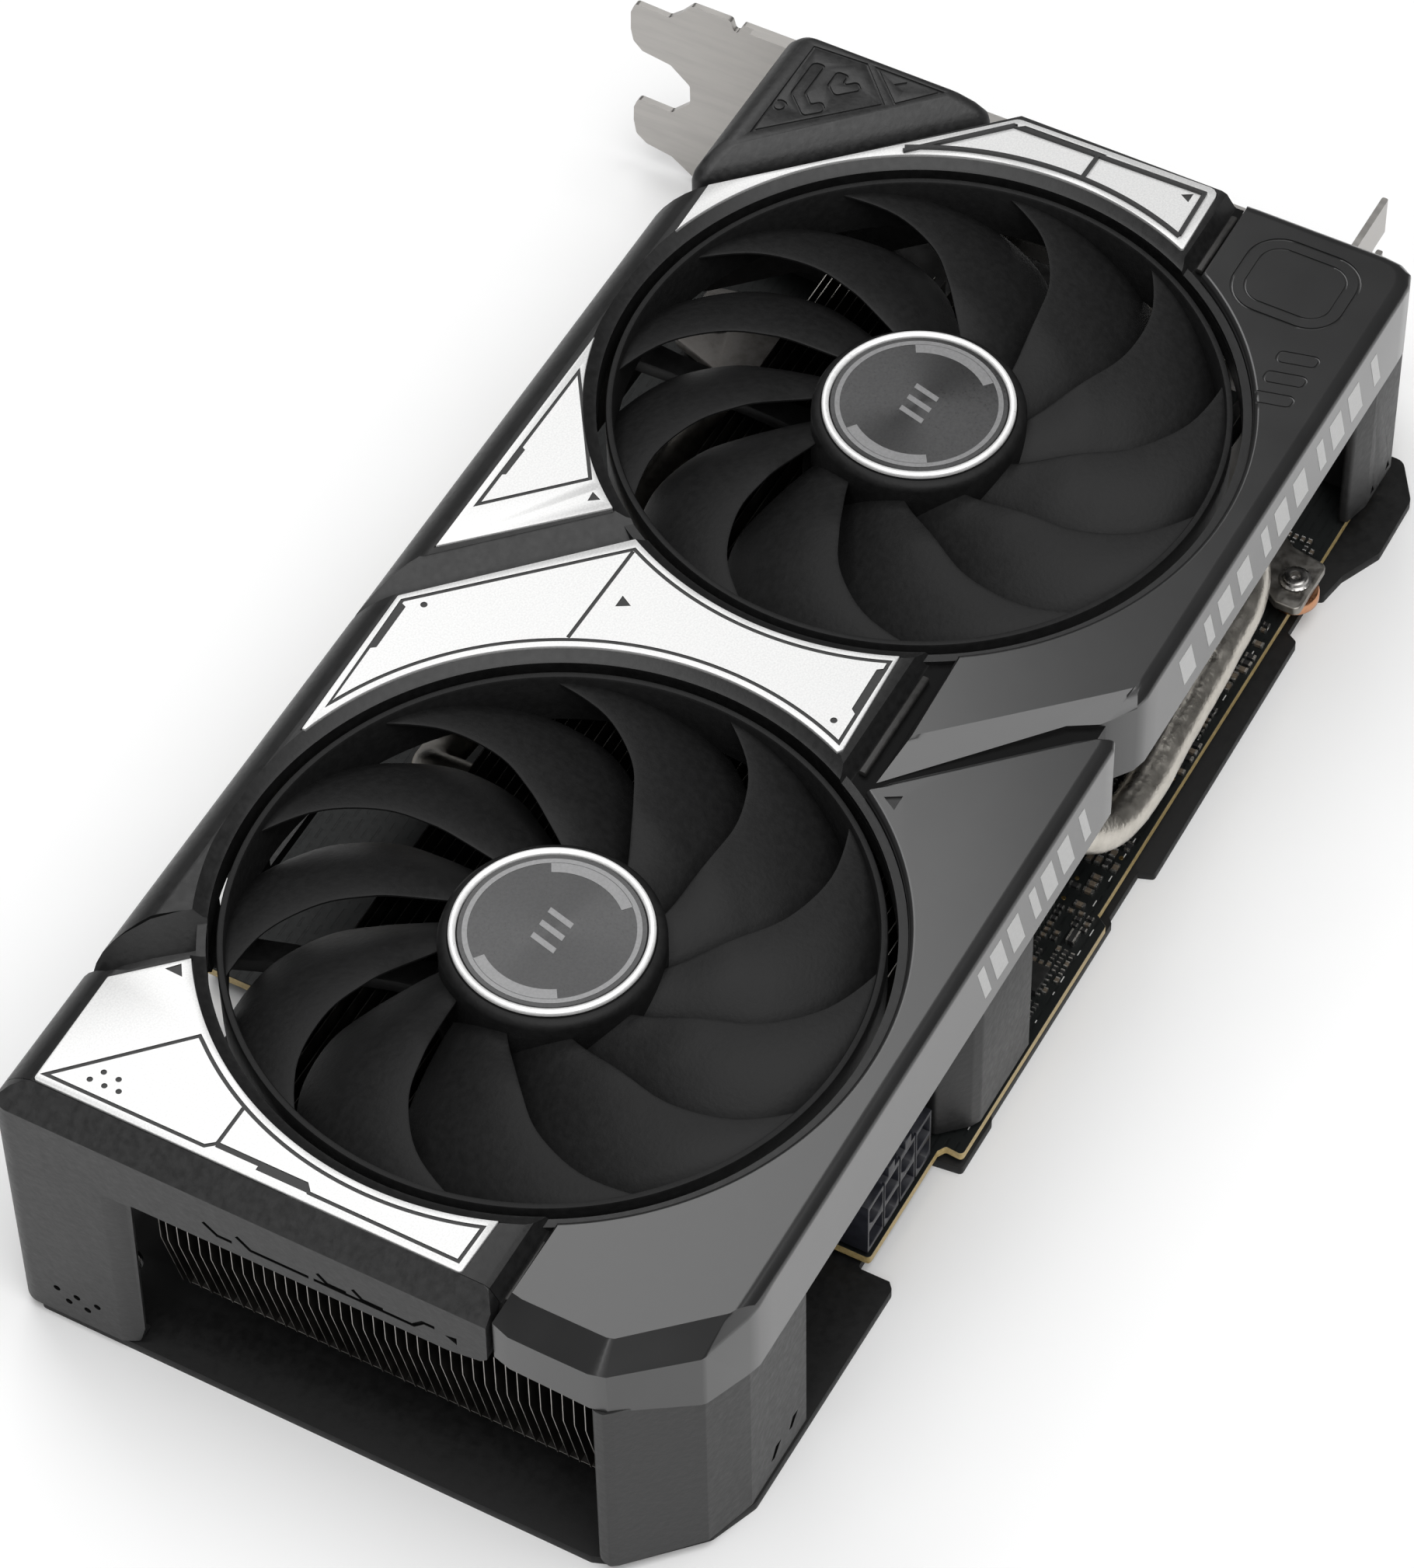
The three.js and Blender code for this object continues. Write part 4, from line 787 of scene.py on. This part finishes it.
panel("v_accent_panel_left", L_OUT, [([(46.2, -44.8), (18.1, -44.5), (34.8, -33.3)], True)],
      [[(33.9, -44.9), (40.1, -45.0), (39.6, -44.0), (34.4, -43.9)]], [], [tri(37.6, -31.2, 1.05, 95)], "accent_panel_left")
panel("v_accent_panel_top", T_OUT,
      [([(-41.2, -23.9), (-53.2, -12.0), (-53.8, 18.4), (-44.8, 18.7)], False), (arc(0, 0, 48.35, 157.2, 209.8, 40), False), ([(-53.6, 1.5), (-48.5, 1.4)], False)],
      [[(-53.1, -12.0), (-54.2, -10.6), (-54.4, 2.6), (-53.5, 1.4)]], [], [tri(-52.3, 16.4, 1.05, 150)], "accent_panel_top")

# ---------------------------------------------------------------- corner cap
def capring(pts, r, z): return [(x, y, z) for x, y in fil([(p[0], p[1], q) for p, q in zip(pts, r)], 8)]


plate = [(-57.1, -48.0), (-31.2, -48.3), (-56.9, -22.9)]
rings = [capring([(-58.6, -51.3), (-23.9, -51.3), (-58.6, -15.9)], (3.0, 1.6, 1.4), 22.0),
         capring([(-58.6, -51.3), (-23.9, -51.3), (-58.6, -15.9)], (3.0, 1.6, 1.4), 44.2),
         capring([(-58.5, -51.1), (-24.6, -51.1), (-58.5, -16.4)], (2.8, 1.5, 1.3), 45.4),
         capring([(-58.2, -50.5), (-26.4, -50.5), (-58.2, -18.2)], (2.6, 1.4, 1.2), 46.6),
         capring([(-57.8, -49.4), (-29.0, -49.5), (-57.7, -20.8)], (2.2, 1.2, 1.1), 47.7),
         capring([(-57.4, -48.6), (-30.4, -48.8), (-57.3, -22.1)], (2.0, 1.1, 1.0), 48.2),
         capring(plate, (1.8, 1.0, .9), 48.45)]
o = Geo().loft(rings).obj("v_corner_cap", [M_TEX])
cut(o, Geo().prism([(-56.6, -49.0), (-28.0, -49.0), (-56.6, -19.5)], 10, 45.2), [M_TEX])
c = Geo()
c.ribbon([(-36.2, -46.0), (-55.6, -46.0), (-56.0, -37.6), (-49.8, -31.6)], .42, 48.15, 49, True)
cut(o, c, [M_TEX], self_int=False)
c = Geo().ribbon([(-50.6, -30.2), (-56.0, -35.8), (-56.0, -25.2)], .42, 48.15, 49, True)
cut(o, c, [M_TEX], self_int=False)
c = Geo().prism(tri(-54.4, -31.0, 1.2, 160), 48.1, 49)
cut(o, c, [M_TEX])
# generic mark: two nested bent strokes drawn as outlines, and a ring
for P_ in ([(-52.8, -44.6, .8), (-45.6, -44.6, 1.2), (-42.2, -41.0, .8), (-44.6, -38.4, .8), (-46.0, -39.8, .5), (-44.8, -41.1, .5), (-46.6, -42.8, .5), (-52.8, -42.8, .5)],
           [(-52.6, -40.6, .5), (-49.6, -40.6, .7), (-48.0, -38.8, .8), (-50.8, -35.8, .5), (-52.0, -37.0, .5), (-50.4, -38.8, .4), (-52.6, -38.8, .5)]):
    cut(o, Geo().ribbon(fil(P_, 4), .34, 48.1, 49, True), [M_TEX], self_int=False)
c = Geo().lathe([(.75, 48.1), (1.2, 48.1), (1.2, 49), (.75, 49)], -42.6, -45.0, 32)
cut(o, c, [M_TEX])
finish_mesh(o, .13, 2, ang=38)
piece(o, "card", "textured_black", "corner_cap")

# ---------------------------------------------------------------- glossy covers
def cover(name, verts, node):
    """verts: (top xy, chamfer end xyz, bottom z, inward xy shift, mode). Rings run from the top face down the outside and back up the inside."""
    ring = lambda f: [f(v) for v in verts]
    def mid(v, t):
        (tx, ty), (cx, cy, cz) = v[0], v[1]
        if v[4] == "r":    # quarter-round
            s, c_ = math.sin(t * math.pi / 2), 1 - math.cos(t * math.pi / 2)
            return (tx + (cx - tx) * s, ty + (cy - ty) * s, 49.8 + (cz - 49.8) * c_)
        return (tx + (cx - tx) * t, ty + (cy - ty) * t, 49.8 + (cz - 49.8) * t)
    R = [ring(lambda v, t=t: mid(v, t)) for t in (0, .2, .4, .6, .8, 1)]
    R.append(ring(lambda v: (v[1][0], v[1][1], v[2])))
    R.append(ring(lambda v: (v[1][0] + v[3][0], v[1][1] + v[3][1], v[2])))
    R.append(ring(lambda v: (v[1][0] + v[3][0], v[1][1] + v[3][1], 47.75)))
    o = Geo().loft(R[::-1]).obj(name, [M_GLOSS, M_TEX])
    return o


V = []
for a in range(0, 81):          # bore edge, from the rail side near the bracket to the middle
    t = math.radians(148.2 + (33.9 - 148.2) * a / 80)
    V.append(((47.5 * math.cos(t), 47.5 * math.sin(t)), (46.7 * math.cos(t), 46.7 * math.sin(t), 48.9), 47.8, (.2 * math.cos(t), .2 * math.sin(t)), "r"))
V.append(((54.4, 27.0), (62.2, 25.7, 47.5), 44.6, (-1.2, .5), "f"))
for k in range(1, 12):
    t = k / 12
    V.append(((54.4 + (33.4 - 54.4) * t, 27.0 + (49.3 - 27.0) * t), (62.2 + (40.2 - 62.2) * t, 25.7 + (45.6 - 25.7) * t, 47.5 + .7 * t), 44.6, (-.8, -.8), "f"))
V.append(((33.1, 49.5), (39.7, 47.9, 48.2), 35.6, (-1.6, -.5), "f"))
V.append(((32.6, 49.62), (38.2, 49.0, 48.25), 35.3, (-1.5, -1.1), "f"))
V.append(((32.0, 49.64), (35.0, 51.1, 48.3), 35.0, (-.9, -1.6), "r"))
V.append(((31.2, 49.65), (32.8, 51.7, 48.35), 35.0, (-.3, -1.8), "r"))
for k in range(0, 13):
    x = 29.5 + (-49.5 - 29.5) * k / 12
    V.append(((x, 49.65), (x, 51.7, 48.35), 35.0, (0, -1.8), "r"))
V.append(((-51.3, 49.5), (-52.2, 51.6, 48.3), 35.0, (.3, -1.8), "r"))
V.append(((-52.8, 48.9), (-54.4, 50.8, 48.3), 35.4, (1.3, -1.4), "r"))
V.append(((-53.6, 47.8), (-55.5, 49.0, 48.3), 36.0, (1.6, -.6), "r"))
for y in (46.2, 40, 34, 29, 26.5):
    V.append(((-53.9, y), (-55.7, y, 48.6), 36.0, (1.7, 0), "r"))
V.append(((-53.8, 24.9), (-55.5, 24.5, 48.9), 36.0, (1.6, .2), "r"))
o = cover("v_cover_far", V, "cover_far")
# shallow closed badge outline and three short slots (generic)
for d, w_, zz in ((0, .5, 49.55), (1.9, .4, 49.62)):
    P_ = [(-51.6 + d, 28.8 + d, 5.2 - d), (-36.8 - d, 28.8 + d, 5.2 - d), (-36.8 - d, 45.8 - d, 5.2 - d), (-51.6 + d, 45.8 - d, 5.2 - d)]
    cut(o, Geo().ribbon(fil(P_, 10), w_, zz, 51, True), [M_GLOSS], self_int=False)
for k in range(3):
    x_ = -31.6 + k * 4.2
    c = Geo().ribbon(fil([(x_, 40.9, .8), (x_ + 2.2, 40.9, .8), (x_ + .8, 46.6, .8), (x_ - 1.4, 46.6, .8)], 4), .36, 49.6, 51, True)
    cut(o, c, [M_GLOSS], self_int=False)
finish_mesh(o, .12, 2, ang=24, bang=26)
weighted(o)
piece(o, "card", "gloss_cover", "cover_far")

V = []
for a in range(0, 81):
    t = math.radians(146.3 + (30.3 - 146.3) * a / 80)
    V.append(((XB + 47.5 * math.cos(t), 47.5 * math.sin(t)), (XB + 46.7 * math.cos(t), 46.7 * math.sin(t), 48.9), 47.8, (.2 * math.cos(t), .2 * math.sin(t)), "r"))
V.append(((157.0, 23.9), (160.6, 22.9, 47.0), 39.4, (-1.6, .6), "f"))
V.append(((157.3, 25.5), (161.2, 25.5, 46.4), 39.2, (-1.7, 0), "f"))
V.append(((157.3, 30), (161.2, 30, 46.3), 39.0, (-1.7, 0), "f"))
V.append(((157.3, 37.5), (161.2, 36.9, 46.3), 38.6, (-1.7, -.2), "f"))
V.append(((157.0, 38.5), (160.6, 39.2, 46.3), 38.4, (-1.5, -.9), "f"))
V.append(((147.1, 49.2), (152.7, 48.4, 46.3), 36.0, (-.9, -1.5), "f"))
V.append(((147.0, 49.3), (152.0, 48.8, 46.4), 35.8, (-.8, -1.6), "f"))
V.append(((146.9, 49.4), (145.4, 51.2, 47.4), 35.2, (-.6, -1.7), "f"))
V.append(((146.4, 49.62), (143.4, 51.7, 47.9), 35.0, (-.3, -1.8), "r"))
V.append(((143.0, 49.65), (140.0, 51.7, 48.3), 35.0, (0, -1.8), "r"))
for k in range(0, 14):
    x = 137 + (46 - 137) * k / 13
    V.append(((x, 49.65), (x, 51.7, 48.35), 35.0, (0, -1.8), "r"))
V.append(((44.2, 49.65), (43.2, 51.7, 48.35), 35.0, (.3, -1.8), "r"))
V.append(((43.3, 49.5), (42.0, 51.2, 48.6), 35.2, (1.2, -1.4), "r"))
V.append(((43.6, 48.9), (42.7, 49.6, 48.9), 36.0, (1.6, -.4), "r"))
for k in range(1, 12):
    t = k / 12
    V.append(((43.6 + (64.9 - 43.6) * t, 48.9 + (26.9 - 48.9) * t), (42.9 + (64.4 - 42.9) * t, 48.6 + (26.2 - 48.6) * t, 49.2), 44.6 if t > .1 else 40, (.6, .6), "r"))
o = cover("v_cover_near", V, "cover_near")
cut(o, Geo().prism([(65.4, 28.5), (64.1, 30.7), (66.7, 30.7)], 49.45, 51), [M_TEX], self_int=False)
finish_mesh(o, .12, 2, ang=24, bang=26)
weighted(o)
piece(o, "card", "gloss_cover", "cover_near")

# plain slanted bars printed on the side bands
g = Geo()


def bars(x0, x1, n, z0, z1, lean, fill):
    w_ = (x1 - x0) / n
    for k in range(n):
        a = x0 + k * w_
        f_ = fill if k % 3 else fill * .55
        p = [(a, z0), (a + w_ * f_, z0), (a + w_ * f_ + lean, z1), (a + lean, z1)]
        g.py(p, 51.66, 51.735)


bars(-43.5, 23, 11, 38.2, 45.6, 2.4, .62)
bars(49.5, 84, 7, 38.0, 46.2, 2.6, .66)
o = g.obj("v_side_marks", [M_MARK]); finish_mesh(o)
piece(o, "card", "gloss_cover")

# ---------------------------------------------------------------- rails
for n, a, b in (("end", 147.6, 157.4), ("middle", 43.4, 62.0), ("top", -53.4, -41.6)):
    o = Geo().px([(22.9, 47.5), (24.0, 47.5), (24.0, 48.2), (23.8, 48.4), (23.1, 48.4), (22.9, 48.2)], a, b).obj("v_groove_rail_" + n, [M_RAIL]); finish_mesh(o, .08, 2)
    piece(o, "card", "rail_grey", "groove_rail_" + n)

# ---------------------------------------------------------------- exhaust end
FRP = [(-51.9, 2.0), (-33.4, 2.0, .4), (-32.6, 5.2, .6), (-31.9, 36.7, 1.6), (16.4, 37.0, .8), (21.2, 37.9, .6), (22.2, 38.9, .5), (22.3, 47.5), (21.0, 49.5), (20.2, 49.82), (-46.4, 49.82), (-47.0, 49.7), (-48.2, 49.25),
       (-49.4, 48.5), (-50.5, 47.4), (-51.3, 46.2), (-51.75, 44.8), (-51.9, 43.2)]
o = Geo().px(fil(FRP, 5), 157.66, 161.2).obj("v_exhaust_frame", [M_TEX])
cut(o, Geo().py([(157.5, 49.98), (161.35, 45.9), (163, 45.9), (163, 56), (157.5, 56)], -60, 60), [M_TEX], self_int=False)
cut(o, Geo().prism([(161.25, -35.7), (162.5, -35.7), (162.5, -31.0), (159.85, -31.0), (159.85, -32.9)], -5, 36.3), [M_TEX], self_int=False)
cut(o, Geo().prism([(157, -38.5), (159.0, -38.5), (159.4, -35.6), (159.4, -30.0), (157, -30.0)], 2.6, 36.2), [M_TEX], self_int=False)
cut(o, Geo().prism([(164, -48.9)] + arc(158.2, -48.9, 3.0, 0, -90, 12) + [(158.2, -56), (164, -56)], -5, 60), [M_TEX], self_int=False)
c = Geo()
for y, z in [(-45.3, 7.8), (-42.2, 7.6), (-43.6, 5.8), (-40.7, 5.7), (-39.0, 7.6)]:
    c.px(arc(y, z, .52, 0, 337.5, 15), 160.7, 163)
# the small holes are lined with the near-black material as painted shade
cut(o, c, [M_PAINTED_SHADE], self_int=False)
c = Geo()
orn = [[(-19.6, 40.9), (-17.6, 39.2), (-15.4, 39.2)], [(-14.6, 41.0), (-12.6, 39.2), (-4.0, 39.2)], [(-2.6, 41.0), (-1.2, 39.6), (1.6, 39.6)], [(2.6, 41.0), (4.0, 39.6), (7.0, 39.6)], [(-3.2, 39.2), (11.4, 39.2), (12.9, 40.8), (14.6, 40.8)]]
for p in orn:
    gg = Geo().ribbon(p, .6, 0, 1)
    b0 = len(c.v)
    c.v += [(160.75 + v[2] * 2, v[0], v[1]) for v in gg.v]
    c.f += [tuple(i_ + b0 for i_ in f) for f in gg.f]; c.m += gg.m
c.px([(16.2, 40.2), (17.8, 39.2), (17.8, 40.6)], 160.75, 163)
# the ornament grooves are lined with the near-black material as painted shade
cut(o, c, [M_PAINTED_SHADE])
finish_mesh(o, .22, 3, ang=34)
weighted(o)
piece(o, "card", "textured_black", "exhaust_frame")
o = Geo().prism(fil([(161.2, 36.9, 1.5), (161.2, 38.8, .6), (160.4, 39.8, .8), (151.6, 48.2, .5), (144.2, 50.6, .5), (129.0, 50.7, .4), (129.0, 48.8, .2), (143.4, 48.8), (150.0, 46.8), (158.2, 38.6), (158.4, 37.0)], 4), 2.0, 38.3).obj("v_corner_leg", [M_TEX])
c = Geo().prism([(120, 45), (148, 45), (148, 60), (120, 60)], 34.7, 40)
cut(o, c, [M_TEX])
cut(o, Geo().px([(36.0, 1.0), (36.0, 4.7)] + arc(39.6, 4.7, 2.7, 180, 270, 8) + [(39.6, 1.0)], 158.6, 163), [M_TEX], self_int=False)
c = Geo().py([(131.6, 7.6), (133.0, 7.8), (134.0, 5.9), (133.2, 5.6)], 48.0, 55)
c.py([(136.2, 6.8), (137.6, 7.0), (138.9, 4.9), (138.0, 4.7)], 48.0, 55)
# the notches are lined with the near-black material as painted shade
cut(o, c, [M_PAINTED_SHADE])
finish_mesh(o, .32, 3, ang=32)
weighted(o)
piece(o, "card", "textured_black", "corner_leg")
# side legs
o = Geo().prism(fil([(62.2, 42.0), (62.2, 49.6, .6), (63.0, 50.1, .5), (77.6, 50.1, 1.2), (79.0, 49.4, 1.2), (82.6, 45.6, 1.2), (82.4, 42.0)], 5), 5.0, 34.6).obj("v_middle_leg", [M_TEX])
cut(o, Geo().box(62.4, 79.2, 42.0, 47.6, 4.5, 44.2), [M_TEX], "UNION")
finish_mesh(o, .2, 2)
piece(o, "card", "textured_black", "middle_leg")
LEGP = [(-57.8, 42.0), (-57.8, 49.0, .8), (-56.6, 50.0, .8), (-47.6, 50.0, .5), (-45.4, 49.4, .8), (-43.4, 48.9, .6), (-43.2, 47.4, .5), (-45.4, 47.2, .5), (-47.4, 47.6), (-55.4, 47.6), (-55.4, 42.0)]
o = Geo().prism(fil(LEGP, 4), 5.0, 34.6).obj("v_bracket_leg", [M_TEX, M_PAINTED_SHADE])
c = Geo().py([(-55.7, 6.2), (-54.4, 6.2), (-55.0, 7.8)], 49, 55).py([(-50.4, 6.0), (-49.1, 6.0), (-49.7, 7.6)], 49, 55)
# the notches are lined with the near-black material as painted shade
cut(o, c, [M_PAINTED_SHADE])
cut(o, Geo().box(-53.8, -49.6, 41.0, 45.2, 4.5, 44.2), [M_TEX], "UNION")
cut(o, Geo().box(-52.4, -51.2, 44.0, 48.2, 5.2, 34.4), [M_TEX], "UNION")
finish_mesh(o, .3, 3)
piece(o, "card", "textured_black", "bracket_leg")

# ---------------------------------------------------------------- floor, light, camera
fl = bpy.data.meshes.new("floor")
S = 3.0
fl.from_pydata([(-S, -S, 0), (S, -S, 0), (S, S, 0), (-S, S, 0)], [], [(0, 1, 2, 3)])
floor = bpy.data.objects.new("floor", fl)
bpy.context.scene.collection.objects.link(floor)
M_FLOOR = mat("floor_pale", (.93, .93, .93), (.95, .95, .95), .75, scale=3, bump=0, rvar=.02, spec=.2)
fl.materials.append(M_FLOOR)


def area(name, loc, target, size, power, col=(1, 1, 1), sizey=None):
    l = bpy.data.lights.new(name, "AREA")
    l.energy = power; l.size = size; l.color = col
    if sizey: l.shape = "RECTANGLE"; l.size_y = sizey
    o = bpy.data.objects.new(name, l)
    o.location = loc
    o.rotation_euler = (Vector(target) - Vector(loc)).to_track_quat("-Z", "Y").to_euler()
    bpy.context.scene.collection.objects.link(o)
    return o


area("soft_over", (.55, .60, 2.2), (0, 0, 0), 2.6, 66)
area("soft_key", (-.47, -.52, 1.10), (.05, 0, 0), .68, 4.4)
area("soft_front", (1.7, -.1, .30), (0, 0, .02), .7, 2.6)
w = bpy.data.worlds.new("world"); bpy.context.scene.world = w
w.use_nodes = True
w.node_tree.nodes["Background"].inputs["Color"].default_value = (1, 1, 1, 1)
w.node_tree.nodes["Background"].inputs["Strength"].default_value = .10
bpy.context.scene.view_settings.view_transform = "Standard"

cam = bpy.data.cameras.new("camera")
co = bpy.data.objects.new("camera", cam)
bpy.context.scene.collection.objects.link(co)
right = Vector((-0.47602655, 0.87935773, -0.01134446))
down = Vector((0.68396071, 0.36208106, -0.63332065))
fwd = Vector((-0.55280780, -0.30923661, -0.77380634))
R = Matrix((right, -down, -fwd)).transposed()
co.matrix_world = Matrix.Translation(Vector(W((521.5618, 260.2218, 698.3953)))) @ R.to_4x4()
cam.sensor_width = 36
cam.sensor_fit = "AUTO"
cam.lens = 8006.312 * 36 / 2018
cam.shift_x = (910 - 936.6228) / 2018
cam.shift_y = (881.3866 - 1009) / 2018
cam.clip_start = .01; cam.clip_end = 20
cam.dof.use_dof = False
bpy.context.scene.camera = co

bpy.context.view_layer.update()
